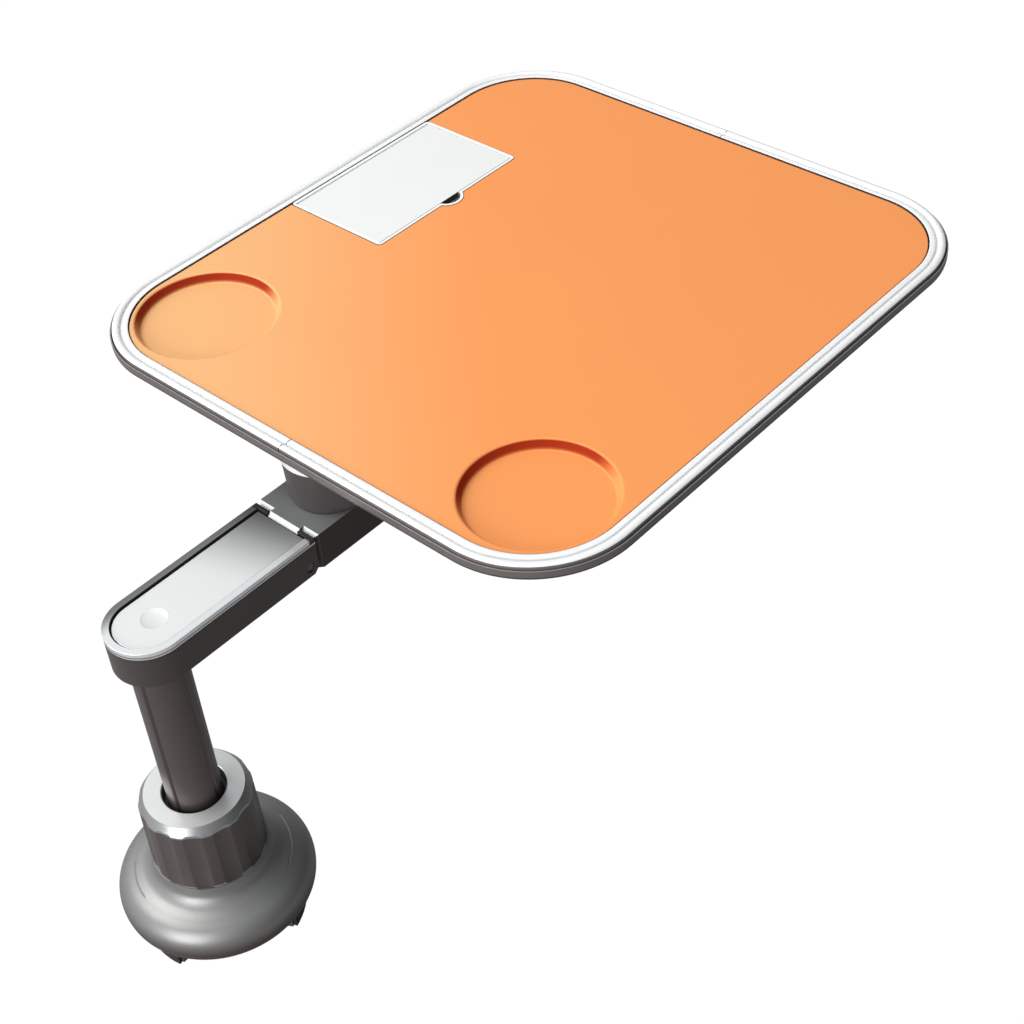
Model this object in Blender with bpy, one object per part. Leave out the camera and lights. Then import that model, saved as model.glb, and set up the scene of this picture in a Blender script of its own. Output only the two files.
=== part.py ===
# Car cup holder tray: an expanding foot for a cup holder, a lifting column, a swinging and
# folding arm, and a swivelling tray with two drink recesses and a hinged flap.
# Metres, +Z up. The origin is on the column's axis, at the foot's flat bottom.
# +X runs from the column along the arm to the tray, +Y to the flap's side of the tray.

from math import asin, atan2, cos, hypot, pi, radians, sin, sqrt

import bmesh
import bpy
from mathutils import Matrix, Vector

# Clearances and facets
gap = 0.0003  # between pieces that rest on each other
running_gap = 0.0004  # between pieces that turn or slide
overrun = 0.002  # how far a cutter runs past the face that it opens
wide_steps = 40  # facets round a wide circle
fine_steps = 24  # facets round a shaft or a bore
small_steps = 12  # facets round a pin or a screw
smooth_angle_share = 1 / 6  # of a half turn: sharper edges stay crisp

# Foot that goes into the cup holder
foot_pad_radius = 0.0195
foot_pad_thickness = 0.002
insert_depth = 0.0320  # from the very bottom to the plate that rests on the console
insert_bottom_radius = 0.023
insert_top_radius = 0.029
insert_wall = 0.003
insert_chamfer = 0.003
plate_radius = 0.0385
plate_thickness = 0.003

# Jaws that spread inside the cup holder
jaw_count = 3
jaw_turn = radians(181)  # where the first jaw points
jaw_width = 0.018
jaw_low = 0.0145
jaw_height = 0.012
jaw_inner_reach = 0.0135
jaw_outer_reach = 0.0375
jaw_post_radius = 0.00175
jaw_post_reach = 0.029
jaw_retract = 0.007
jaw_spread = 0.005
jaw_pad_thickness = 0.0017
jaw_pad_margin = 0.0006
jaw_arc_steps = 6

# Bell cover over the cup holder's mouth
cover_radius = 0.0475
cover_neck_radius = 0.0275
cover_height = 0.0314
cover_wall = 0.0024

# Knob, and the cam that it turns
knob_height = 0.0408
knob_foot_radius = 0.0273
knob_top_radius = 0.0266
knob_ring_radius = 0.0237
knob_hole_radius = 0.0148
knob_lip = 0.0048
knob_chamfer = 0.0042
knob_flutes = 12
knob_flute_depth = 0.0008
knob_turn_back = radians(64)
knob_turn_on = radians(46)
cam_radius = 0.038
cam_thickness = 0.0035
cam_tube_wall = 0.002

# Column and the sleeve that it slides in
column_radius = 0.0129
column_wall = 0.0024
column_bottom = 0.044
column_groove_count = 4
column_groove_depth = 0.0010
column_groove_half_angle = radians(5)
column_groove_turn = radians(18)
column_lift = 0.030
bush_wall = 0.0015
bush_length = 0.0387
sleeve_wall = 0.0016
sleeve_flange_radius = 0.0195
sleeve_flange = 0.0027
sleeve_recess = 0.0055  # from the knob's top down to the sleeve's

# Arm
arm_bottom = 0.1934
arm_height = 0.0196
arm_half_width = 0.01885
arm_end = 0.0794  # the arm's square end, from the column's axis
arm_wall = 0.0053
arm_floor = 0.004
arm_socket_depth = 0.0053
arm_boss_floor = 0.0106  # the floor over the column, from the arm's underside
bezel_height = 0.0021
bezel_width = 0.0033
lid_thickness = 0.0011
lid_gap = 0.0008
lid_end_inset = 0.0028
dimple_radius = 0.006
dimple_depth = 0.0005
dimple_reach = 0.004
pocket_start = 0.0165
pocket_end = 0.0675

# Pivot on the column's top
plug_depth = 0.018
plug_boss_radius = 0.008
pivot_washer_radius = 0.0115
pivot_washer_thickness = 0.0012
pivot_pocket_clearance = 0.00205  # round the washer, in the arm
pivot_screw_radius = 0.0025
pivot_screw_head_radius = 0.0065
pivot_screw_head = 0.003
pivot_screw_length = 0.013

# Fold hinge between the arm and the swivel block
hinge_inset = 0.0048  # the pin's axis, from the arm's end and from its underside
hinge_pin_radius = 0.002
hinge_head_inset = 0.0006
knuckle_radius = 0.0045
tongue_half_width = 0.0095
tongue_step = 0.0025
ear_chamfer = 0.0029
shoulder_gap = 0.0006
block_bevel = 0.0020
hinge_washer_radius = 0.0034
hinge_washer_thickness = 0.0010

# Swivel block and drum
swivel_reach = 0.10785  # the tray's swivel axis, from the column's
block_tail = 0.006  # how far the block's round end is centred past that axis
block_bore_radius = 0.0064
block_recess_radius = 0.0113
block_recess_depth = 0.0072
block_cap_thickness = 0.0016
drum_height = 0.0246  # from the block's top to the tray's underside
drum_low_radius = 0.0192
drum_high_radius = 0.0200
collar_height = 0.0018
collar_radius = 0.0204
collar_top_radius = 0.0189
collar_inner_radius = 0.0170
collar_edge = 0.0003  # the upright edge under its slope
swivel_bolt_radius = 0.006
swivel_head_radius = 0.009
swivel_head = 0.0045
swivel_washer_thickness = 0.0012
swivel_washer_radius = 0.0105
swivel_nut_radius = 0.0085
swivel_nut_height = 0.0032

# Tray
mat_half_x = 0.154
mat_half_y = 0.14175
mat_corner = 0.0423
mat_thickness = 0.0022
tray_front_reach = 0.0938  # the mat's front edge, from the column's axis
tray_thickness = 0.0104  # from the shell's underside to the mat's top
rim_width = 0.0094
rim_height = 0.0035
rim_seam_reach = 0.003
rim_seam_gap = 0.0004
shell_lip = 0.0007  # its outer edge stands beside the rim
shell_lip_height = 0.0014
shell_wall = 0.0020
shell_edge_height = 0.0053
shell_edge_inset = 0.0102
shell_floor_share = 0.5  # of that inset: the inner floor's edge
deck_thickness = 0.0025
corner_steps = 9
boss_radius = 0.004
boss_hole_radius = 0.0018
boss_reach_shares = (-0.62, 0.62)  # of the mat's half length: where the screws stand
boss_side_share = 0.6  # of the way from the middle to the recesses
tray_screw_radius = 0.0015
tray_screw_head_radius = 0.003
tray_screw_head = 0.0015

# Drink recesses
recess_radius = 0.0357
recess_wall_radius = 0.0340
recess_floor_radius = 0.0327
recess_depth = 0.0046
recess_front_lip = 0.0036
recess_side_lip = 0.0018
recess_skin = 0.0015
recess_roll_share = 0.3

# Flap and its frame
flap_frame_length = 0.1014
flap_frame_width = 0.0638
flap_frame_shift = 0.0262  # its middle, past the tray's
flap_frame_wall = 0.0015
flap_frame_depth = 0.0083
flap_frame_floor = 0.0010
flap_frame_proud = 0.0002
flap_gap = 0.0003
flap_thickness = 0.0026
flap_axis_inset = 0.0031  # from the frame's outer back face
flap_pin_radius = 0.0006
flap_pin_reach = 0.009
notch_reach_share = 0.017  # of the frame's length: the notch, past its middle
notch_radius = 0.0085
notch_rise = 0.0050
notch_wall = 0.0015
notch_depth = 0.0032

# Heights that follow from the sizes above
plate_low = insert_depth
plate_top = plate_low + plate_thickness
cover_top = plate_low + cover_height
knob_low = cover_top + gap
knob_top = knob_low + knob_height
cam_low = plate_top + running_gap + gap
cam_top = cam_low + cam_thickness
cam_tube_top = knob_top - knob_lip - gap
sleeve_top = knob_top - sleeve_recess
sleeve_inner = column_radius + gap + bush_wall + gap
sleeve_outer = sleeve_inner + sleeve_wall
cam_tube_inner = sleeve_outer + running_gap
cam_tube_outer = cam_tube_inner + cam_tube_wall
arm_top = arm_bottom + arm_height
bezel_low = arm_top - bezel_height
arm_body_top = bezel_low - gap
column_top = arm_bottom + arm_socket_depth - gap
boss_floor_top = arm_bottom + arm_boss_floor
hinge_x = arm_end - hinge_inset
hinge_z = arm_bottom + hinge_inset
shoulder_x = arm_end + shoulder_gap
tongue_x = shoulder_x - tongue_step
tray_low = arm_top + drum_height
mat_top = tray_low + tray_thickness
mat_low = mat_top - mat_thickness
deck_top = mat_low - gap
deck_low = deck_top - deck_thickness
rim_low = mat_low
tray_middle_x = tray_front_reach + mat_half_x
flap_frame_reach = tray_middle_x + flap_frame_shift
recess_x = tray_front_reach + recess_front_lip + recess_radius
recess_y = mat_half_y - recess_side_lip - recess_radius
recess_floor_z = mat_top - recess_depth
cup_outer_radius = recess_wall_radius + recess_skin
cup_low = recess_floor_z - recess_skin
well_floor_top = cup_low - gap
flap_frame_back = mat_half_y
flap_frame_front = flap_frame_back - flap_frame_width
flap_frame_top = mat_top + flap_frame_proud
flap_top = flap_frame_top - flap_frame_proud
flap_axis_y = flap_frame_back - flap_axis_inset
flap_axis_z = flap_top - flap_thickness / 2
jaw_per_turn = (jaw_retract + jaw_spread) / (knob_turn_back + knob_turn_on)

# Where each moving body turns or slides
origins = {
    "base": (0, 0, 0),
    "knob": (0, 0, knob_low),
    "column": (0, 0, column_bottom),
    "arm": (0, 0, arm_bottom),
    "fold": (hinge_x, 0, hinge_z),
    "swivel": (swivel_reach, 0, arm_top),
    "flap": (flap_frame_reach, flap_axis_y, flap_axis_z),
}
carriers = {"knob": "base", "column": "base", "arm": "column", "fold": "arm", "swivel": "fold", "flap": "swivel"}

# Colour, roughness and metallic value of each finish
finishes = {
    "satin_silver": ((0.33, 0.34, 0.33), 0.38, 0.85),
    "light_silver": ((0.80, 0.82, 0.80), 0.40, 0.35),
    "bright_rim": ((0.86, 0.87, 0.87), 0.28, 0.60),
    "graphite": ((0.075, 0.068, 0.065), 0.42, 0.55),
    "block_grey": ((0.11, 0.12, 0.12), 0.50, 0.40),
    "column_grey": ((0.07, 0.065, 0.065), 0.38, 0.75),
    "orange_silicone": ((0.98, 0.35, 0.11), 0.55, 0.0),
    "white_plastic": ((0.82, 0.84, 0.83), 0.35, 0.0),
    "dark_plastic": ((0.05, 0.05, 0.05), 0.55, 0.0),
    "black_rubber": ((0.02, 0.02, 0.02), 0.80, 0.0),
    "nylon": ((0.10, 0.10, 0.10), 0.60, 0.0),
    "steel": ((0.55, 0.56, 0.57), 0.30, 1.0),
}

pivots = {}


def clear_scene():
    for thing in list(bpy.data.objects):
        bpy.data.objects.remove(thing, do_unlink=True)


def add_pivot(body, place, carrier=None):
    """An empty on the axis of one moving body, carried by the body before it."""
    empty = bpy.data.objects.new(body + "_axis", None)
    bpy.context.scene.collection.objects.link(empty)
    empty["place"] = tuple(place)
    empty.location = place
    if carrier:
        empty.parent = pivots[carrier]
        empty.location = Vector(place) - Vector(pivots[carrier]["place"])
    pivots[body] = empty


def add_pivots():
    add_pivot("base", origins["base"])
    for body, carrier in carriers.items():
        add_pivot(body, origins[body], carrier)
    for number in range(jaw_count):
        add_pivot(jaw_body(number), (0, 0, jaw_low), "base")


def jaw_body(number):
    return f"jaw_{number + 1}"


def jaw_angle(number):
    return jaw_turn + number * 2 * pi / jaw_count


def finish_material(name, finish):
    colour, roughness, metallic = finishes[finish]
    material = bpy.data.materials.new(name)
    material.use_nodes = True
    shader = material.node_tree.nodes["Principled BSDF"]
    shader.inputs["Base Color"].default_value = (*colour, 1)
    shader.inputs["Roughness"].default_value = roughness
    shader.inputs["Metallic"].default_value = metallic
    material.diffuse_color = (*colour, 1)
    return material


def new_object(name, solid, body, place, turn):
    mesh = bpy.data.meshes.new(name)
    bmesh.ops.recalc_face_normals(solid, faces=solid.faces)
    solid.to_mesh(mesh)
    solid.free()
    mesh.shade_smooth()
    mesh.set_sharp_from_angle(angle=pi * smooth_angle_share)
    piece = bpy.data.objects.new(name, mesh)
    bpy.context.scene.collection.objects.link(piece)
    piece.parent = pivots[body]
    piece.location = Vector(place) - Vector(pivots[body]["place"])
    piece.rotation_euler = (0, 0, turn)
    return piece


def add_piece(name, solid, finish, body, place=(0, 0, 0), turn=0):
    piece = new_object(name, solid, body, place, turn)
    piece.data.materials.append(finish_material(name, finish))
    return piece


def combine(piece, operation, name, solid, place=(0, 0, 0), turn=0):
    """Cuts a hidden tool from a piece, or joins it on."""
    body = piece.parent.name.removesuffix("_axis")
    tool = new_object(f"{piece.name}_{name}", solid, body, place, turn)
    tool.hide_render = True
    tool.display_type = "WIRE"
    boolean = piece.modifiers.new(name, "BOOLEAN")
    boolean.operation = operation
    boolean.solver = "EXACT"
    boolean.object = tool


def cut(piece, name, solid, place=(0, 0, 0), turn=0):
    combine(piece, "DIFFERENCE", name, solid, place, turn)


def join(piece, name, solid, place=(0, 0, 0), turn=0):
    combine(piece, "UNION", name, solid, place, turn)


def lofted(loops, ring=False):
    """A closed solid through loops of equally many points: capped at both ends, or closed into a ring."""
    solid = bmesh.new()
    rows = [[solid.verts.new(point) for point in loop] for loop in loops]
    pairs = list(zip(rows, rows[1:]))
    if ring:
        pairs.append((rows[-1], rows[0]))
    else:
        solid.faces.new(rows[0])
        solid.faces.new(rows[-1])
    for low, high in pairs:
        for k in range(len(low)):
            after = (k + 1) % len(low)
            solid.faces.new((low[k], low[after], high[after], high[k]))
    return solid


def at_height(outline, height):
    return [(x, y, height) for x, y in outline]


def prism(outline, low, high):
    return lofted([at_height(outline, low), at_height(outline, high)])


def across(outline, half_width):
    """An outline of x and z, run along Y to both sides of the middle."""
    return lofted([[(x, side * half_width, z) for x, z in outline] for side in (-1, 1)])


def along(outline, half_length):
    """An outline of y and z, run along X to both sides of the middle."""
    return lofted([[(side * half_length, y, z) for y, z in outline] for side in (-1, 1)])


def arc(radius, start, end, steps, middle=(0, 0)):
    angles = [start + (end - start) * k / steps for k in range(steps + 1)]
    return [(middle[0] + radius * cos(a), middle[1] + radius * sin(a)) for a in angles]


def circle(radius, steps, middle=(0, 0)):
    return arc(radius, 0, 2 * pi, steps, middle)[:-1]


def rectangle(low_x, high_x, low_y, high_y):
    return [(low_x, low_y), (high_x, low_y), (high_x, high_y), (low_x, high_y)]


def turned(profile, steps, ring=False):
    """A solid of revolution from (radius, height) points."""
    return lofted([at_height(circle(radius, steps), height) for radius, height in profile], ring)


def disc(radius, low, high, steps):
    return turned([(radius, low), (radius, high)], steps)


def tube(inner, outer, low, high, steps):
    return turned([(inner, low), (outer, low), (outer, high), (inner, high)], steps, ring=True)


def rod_along_y(radius, half_length, steps):
    return across(circle(radius, steps), half_length)


def rod_along_x(radius, half_length, steps):
    return along(circle(radius, steps), half_length)


def offset_inwards(profile, wall):
    """The profile of a wall's inner side, from its outer side's points, listed from the top down."""
    inner = []
    for k, (radius, height) in enumerate(profile):
        before = profile[max(k - 1, 0)]
        after = profile[min(k + 1, len(profile) - 1)]
        run = after[0] - before[0]
        drop = after[1] - before[1]
        length = hypot(run, drop)
        inner.append((radius + wall * drop / length, height - wall * run / length))
    return inner


# Foot


def make_foot():
    pad = disc(foot_pad_radius, 0, foot_pad_thickness, wide_steps)
    add_piece("foot_pad", pad, "black_rubber", "base")


def make_insert():
    low = foot_pad_thickness + gap
    top = plate_low - gap
    floor_top = low + insert_wall
    profile = [
        (insert_bottom_radius - insert_chamfer, low),
        (insert_bottom_radius, low + insert_chamfer),
        (insert_top_radius, top),
        (insert_top_radius - insert_wall, top),
        (insert_bottom_radius - insert_wall, floor_top),
    ]
    cup = add_piece("insert_cup", turned(profile, wide_steps), "dark_plastic", "base")
    for number in range(jaw_count):
        half = jaw_width / 2 + gap
        reach = insert_top_radius + overrun
        window_top = jaw_low + jaw_height + gap
        window = prism(rectangle(jaw_inner_reach, reach, -half, half), jaw_low - gap, window_top)
        cut(cup, f"window_{number + 1}", window, turn=jaw_angle(number))
        half = jaw_post_radius + running_gap
        slot = prism(rectangle(jaw_inner_reach, reach, -half, half), window_top - gap, top + overrun)
        cut(cup, f"post_slot_{number + 1}", slot, turn=jaw_angle(number))


def make_plate():
    ring = tube(sleeve_outer + gap, plate_radius, plate_low, plate_top, wide_steps)
    plate = add_piece("base_plate", ring, "dark_plastic", "base")
    half = jaw_post_radius + running_gap
    for number in range(jaw_count):
        near = jaw_post_reach - jaw_retract - half
        far = jaw_post_reach + jaw_spread + half
        slot = prism(rectangle(near, far, -half, half), plate_low - overrun, plate_top + overrun)
        cut(plate, f"slot_{number + 1}", slot, turn=jaw_angle(number))


def jaw_outline():
    """A block with a round outer end, as seen from above, pointing along +X."""
    half_angle = asin(jaw_width / 2 / jaw_outer_reach)
    outer = arc(jaw_outer_reach, -half_angle, half_angle, jaw_arc_steps)
    return [(jaw_inner_reach, -jaw_width / 2), *outer, (jaw_inner_reach, jaw_width / 2)]


def pad_outline():
    inner = jaw_outer_reach + gap
    outer = inner + jaw_pad_thickness
    half_angle = asin((jaw_width / 2 - jaw_pad_margin) / inner)
    return [
        *arc(outer, -half_angle, half_angle, jaw_arc_steps),
        *arc(inner, half_angle, -half_angle, jaw_arc_steps),
    ]


def make_jaw(number):
    place = (0, 0, jaw_low)
    turn = jaw_angle(number)
    jaw = add_piece(f"jaw_{number + 1}", prism(jaw_outline(), 0, jaw_height), "nylon", jaw_body(number), place, turn)
    post_low = jaw_height - jaw_post_radius
    post_high = cam_top - jaw_low - gap
    post = prism(circle(jaw_post_radius, small_steps, (jaw_post_reach, 0)), post_low, post_high)
    join(jaw, "post", post, place, turn)
    pad = prism(pad_outline(), jaw_pad_margin, jaw_height - jaw_pad_margin)
    add_piece(f"jaw_pad_{number + 1}", pad, "black_rubber", jaw_body(number), place, turn)


# Bell cover, knob and cam

# Points of the bell, from the neck down: shares of the way out to the rim, and of the height.
bell_shares = [
    (0.00, 1.00),
    (0.035, 0.87),
    (0.13, 0.765),
    (0.29, 0.685),
    (0.475, 0.656),
    (0.665, 0.632),
    (0.82, 0.568),
    (0.935, 0.472),
    (0.99, 0.375),
    (1.00, 0.300),
    (1.00, 0.205),
    (0.955, 0.100),
    (0.825, 0.025),
    (0.65, 0.00),
]


def make_cover():
    spread = cover_radius - cover_neck_radius
    outer = [(cover_neck_radius + spread * out, plate_low + cover_height * up) for out, up in bell_shares]
    inner = offset_inwards(outer, cover_wall)[::2]
    inner[0] = (cover_neck_radius - cover_wall, cover_top - cover_wall)
    inner.append((plate_radius + gap, plate_low))
    hole = cam_tube_outer + running_gap
    profile = [(hole, cover_top), *outer, *reversed(inner), (hole, cover_top - cover_wall)]
    add_piece("bell_cover", turned(profile, wide_steps, ring=True), "satin_silver", "base")


def fluted_outline(radius, depth):
    """A circle with shallow flutes between lands of nearly equal width."""
    pitch = 2 * pi / knob_flutes
    land_share, shoulder_share = 0.22, 0.31
    rows = [(-land_share, 0), (0, 0), (land_share, 0), (shoulder_share, 0.7), (0.5, 1), (1 - shoulder_share, 0.7)]
    outline = []
    for number in range(knob_flutes):
        for turn_share, depth_share in rows:
            angle = (number + turn_share) * pitch
            reach = radius - depth * depth_share
            outline.append((reach * cos(angle), reach * sin(angle)))
    return outline


def make_knob():
    bore = cam_tube_outer + gap
    lip_low = knob_height - knob_lip
    loops = [
        at_height(fluted_outline(bore, 0), 0),
        at_height(fluted_outline(knob_foot_radius, knob_flute_depth), 0),
        at_height(fluted_outline(knob_top_radius, knob_flute_depth), knob_height - knob_chamfer),
        at_height(fluted_outline(knob_ring_radius, 0), knob_height),
        at_height(fluted_outline(knob_hole_radius, 0), knob_height),
        at_height(fluted_outline(knob_hole_radius, 0), lip_low),
        at_height(fluted_outline(bore, 0), lip_low),
    ]
    add_piece("knob", lofted(loops, ring=True), "satin_silver", "knob", (0, 0, knob_low))


def spiral_slot(number):
    """A slot whose radius grows as the knob turns on, so that each jaw's post follows it."""
    half = jaw_post_radius + running_gap
    steps = fine_steps
    middle = []
    for k in range(steps + 1):
        turned_by = -knob_turn_back + (knob_turn_back + knob_turn_on) * k / steps
        radius = jaw_post_reach + jaw_per_turn * turned_by
        angle = jaw_angle(number) + turned_by
        middle.append(Vector((radius * cos(angle), radius * sin(angle))))
    left, right = [], []
    for k, point in enumerate(middle):
        way = (middle[min(k + 1, steps)] - middle[max(k - 1, 0)]).normalized()
        side = Vector((-way.y, way.x)) * half
        left.append(tuple(point + side))
        right.append(tuple(point - side))
    start_way = middle[0] - middle[1]
    end_way = middle[-1] - middle[-2]
    start = atan2(start_way.y, start_way.x)
    end = atan2(end_way.y, end_way.x)
    cap_steps = small_steps // 3
    head = arc(half, end + pi / 2, end - pi / 2, cap_steps, tuple(middle[-1]))[1:-1]
    tail = arc(half, start + pi / 2, start - pi / 2, cap_steps, tuple(middle[0]))[1:-1]
    return [*left, *head, *reversed(right), *tail]


def make_cam():
    profile = [
        (cam_tube_inner, cam_low),
        (cam_radius, cam_low),
        (cam_radius, cam_top),
        (cam_tube_outer, cam_top),
        (cam_tube_outer, cam_tube_top),
        (cam_tube_inner, cam_tube_top),
    ]
    cam = add_piece("cam_sleeve", turned(profile, wide_steps, ring=True), "nylon", "knob")
    for number in range(jaw_count):
        slot = prism(spiral_slot(number), cam_low - overrun, cam_top + overrun)
        cut(cam, f"slot_{number + 1}", slot)


# Guide sleeve and column


def make_sleeve():
    flange_low = plate_low - gap - sleeve_flange
    profile = [
        (sleeve_inner, flange_low),
        (sleeve_flange_radius, flange_low),
        (sleeve_flange_radius, plate_low - gap),
        (sleeve_outer, plate_low - gap),
        (sleeve_outer, sleeve_top),
        (sleeve_inner, sleeve_top),
    ]
    add_piece("guide_sleeve", turned(profile, wide_steps, ring=True), "dark_plastic", "base")
    bush_top = sleeve_top - gap
    inner = column_radius + gap
    bush = tube(inner, inner + bush_wall, bush_top - bush_length, bush_top, wide_steps)
    add_piece("guide_bush", bush, "nylon", "base")


def grooved_outline(steps_between=8):
    """A round bar's outline with a V groove at each quarter."""
    outline = []
    pitch = 2 * pi / column_groove_count
    for number in range(column_groove_count):
        middle = column_groove_turn + number * pitch
        bottom = column_radius - column_groove_depth
        outline.append((bottom * cos(middle), bottom * sin(middle)))
        start = middle + column_groove_half_angle
        end = middle + pitch - column_groove_half_angle
        outline.extend(arc(column_radius, start, end, steps_between))
    return outline


def make_column():
    outer = grooved_outline()
    inner = circle(column_radius - column_wall, len(outer))
    shift = round(column_groove_turn / (2 * pi) * len(outer))
    inner = inner[shift:] + inner[:shift]
    high = column_top - column_bottom
    loops = [at_height(inner, 0), at_height(outer, 0), at_height(outer, high), at_height(inner, high)]
    add_piece("column_tube", lofted(loops, ring=True), "column_grey", "column", (0, 0, column_bottom))


def make_pivot():
    plug_radius = column_radius - column_wall - gap
    boss_top = boss_floor_top + gap
    screw_hole = pivot_screw_radius + gap
    profile = [
        (screw_hole, column_top - plug_depth),
        (plug_radius, column_top - plug_depth),
        (plug_radius, column_top),
        (plug_boss_radius, column_top),
        (plug_boss_radius, boss_top),
        (screw_hole, boss_top),
    ]
    add_piece("column_plug", turned(profile, fine_steps, ring=True), "steel", "column")
    washer_low = boss_top + gap
    washer_top = washer_low + pivot_washer_thickness
    washer = tube(screw_hole, pivot_washer_radius, washer_low, washer_top, fine_steps)
    add_piece("pivot_washer", washer, "steel", "column")
    head_low = washer_top + gap
    head_top = head_low + pivot_screw_head
    profile = [
        (pivot_screw_radius, head_low - pivot_screw_length),
        (pivot_screw_radius, head_low),
        (pivot_screw_head_radius, head_low),
        (pivot_screw_head_radius, head_top),
    ]
    screw = add_piece("pivot_screw", turned(profile, fine_steps), "steel", "column")
    socket = prism(circle(pivot_screw_radius, 6), head_top - pivot_screw_head / 2, head_top + overrun)
    cut(screw, "socket", socket)


# Arm


def arm_outline(inset, end):
    radius = arm_half_width - inset
    return [*arc(radius, pi / 2, 3 * pi / 2, fine_steps), (end, -radius), (end, radius)]


def notch_box(start, low, high):
    half = tongue_half_width + gap
    return prism(rectangle(start, arm_end + overrun, -half, half), low, high)


def make_arm_body():
    body = add_piece("arm_body", prism(arm_outline(0, arm_end), arm_bottom, arm_body_top), "graphite", "arm")
    pocket_half = arm_half_width - arm_wall
    above = arm_body_top + overrun
    pocket = rectangle(pocket_start, pocket_end, -pocket_half, pocket_half)
    cut(body, "pocket", prism(pocket, arm_bottom + arm_floor, above))
    pivot_pocket_radius = pivot_washer_radius + pivot_pocket_clearance
    cut(body, "pivot_pocket", disc(pivot_pocket_radius, boss_floor_top, above, fine_steps))
    below = arm_bottom - overrun
    socket = disc(column_radius + running_gap, below, arm_bottom + arm_socket_depth, wide_steps)
    cut(body, "socket", socket)
    cut(body, "pivot_hole", disc(plug_boss_radius + running_gap, below, above, fine_steps))
    notch_start = hinge_x - knuckle_radius - shoulder_gap
    cut(body, "notch", notch_box(notch_start, below, above))
    far = arm_end + overrun
    ear_cut = [
        (arm_end - ear_chamfer - overrun, below),
        (far, below),
        (far, arm_bottom + ear_chamfer + overrun),
    ]
    cut(body, "ear_chamfer", across(ear_cut, arm_half_width + overrun))
    hole = rod_along_y(hinge_pin_radius + gap, arm_half_width + overrun, small_steps)
    cut(body, "pin_hole", hole, (hinge_x, 0, hinge_z))


def make_bezel():
    bezel = add_piece("arm_bezel", prism(arm_outline(0, arm_end), bezel_low, arm_top), "bright_rim", "arm")
    below = bezel_low - overrun
    above = arm_top + overrun
    opening_end = arm_end - lid_end_inset + lid_gap
    cut(bezel, "opening", prism(arm_outline(bezel_width, opening_end), below, above))
    cut(bezel, "notch", notch_box(tongue_x - gap - overrun, below, above))


def make_lid():
    outline = arm_outline(bezel_width + lid_gap, arm_end - lid_end_inset)
    lid_top = bezel_low + lid_thickness
    lid = add_piece("arm_lid", prism(outline, bezel_low, lid_top), "light_silver", "arm")
    rise_share = 0.72  # the dimple's flat floor, of its radius
    dimple = turned(
        [
            (dimple_radius * rise_share, lid_top - dimple_depth),
            (dimple_radius, lid_top),
            (dimple_radius, lid_top + overrun),
        ],
        fine_steps,
    )
    cut(lid, "dimple", dimple, (dimple_reach, 0, 0))


def make_hinge_pin():
    pin = rod_along_y(hinge_pin_radius, arm_half_width - hinge_head_inset, small_steps)
    add_piece("hinge_pin", pin, "steel", "arm", (hinge_x, 0, hinge_z))


# Swivel block


def tongue_outline():
    """The side view of the block's tongue: a bevelled nose above, and the knuckle round the pin."""
    root_x = shoulder_x + block_bevel + overrun
    knuckle = arc(knuckle_radius, radians(50), radians(270), fine_steps // 2, (hinge_x, hinge_z))
    nose_foot = hinge_z + knuckle_radius
    return [
        (root_x, arm_top),
        (tongue_x + block_bevel, arm_top),
        (tongue_x, arm_top - block_bevel),
        (tongue_x, nose_foot),
        *knuckle,
        (root_x, hinge_z - knuckle_radius),
    ]


def bevel_edges(solid, wanted, offset):
    edges = [edge for edge in solid.edges if wanted(edge)]
    bmesh.ops.bevel(solid, geom=edges, offset=offset, offset_type="OFFSET", segments=1, affect="EDGES")


def make_block():
    outline = [
        (shoulder_x, arm_half_width),
        (shoulder_x, -arm_half_width),
        *arc(arm_half_width, -pi / 2, pi / 2, fine_steps, (swivel_reach + block_tail, 0)),
    ]
    solid = prism(outline, arm_bottom, arm_top)
    near = gap / 10

    def front_edge(edge):
        ends = [vert.co for vert in edge.verts]
        at_front = all(abs(end.x - shoulder_x) < near for end in ends)
        at_bottom = all(abs(end.z - arm_bottom) < near for end in ends)
        return at_front and not at_bottom

    bevel_edges(solid, front_edge, block_bevel)
    block = add_piece("swivel_block", solid, "block_grey", "fold")
    join(block, "tongue", across(tongue_outline(), tongue_half_width))
    seat = rod_along_y(knuckle_radius + shoulder_gap, hinge_washer_thickness + gap, small_steps)
    cut(block, "left_washer_seat", seat, (hinge_x, tongue_half_width, hinge_z))
    seat = rod_along_y(knuckle_radius + shoulder_gap, hinge_washer_thickness + gap, small_steps)
    cut(block, "right_washer_seat", seat, (hinge_x, -tongue_half_width, hinge_z))
    cut(block, "pin_bore", rod_along_y(hinge_pin_radius + gap, arm_half_width, small_steps), (hinge_x, 0, hinge_z))
    middle = (swivel_reach, 0, 0)
    bore = disc(block_bore_radius, arm_bottom - overrun, arm_top + overrun, fine_steps)
    cut(block, "bolt_bore", bore, middle)
    recess_top = arm_bottom + block_recess_depth
    cut(block, "nut_recess", disc(block_recess_radius, arm_bottom - overrun, recess_top, fine_steps), middle)
    cap_low = arm_bottom + gap
    cap = disc(block_recess_radius - gap, cap_low, cap_low + block_cap_thickness, fine_steps)
    add_piece("block_cap", cap, "dark_plastic", "fold", middle)


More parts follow.
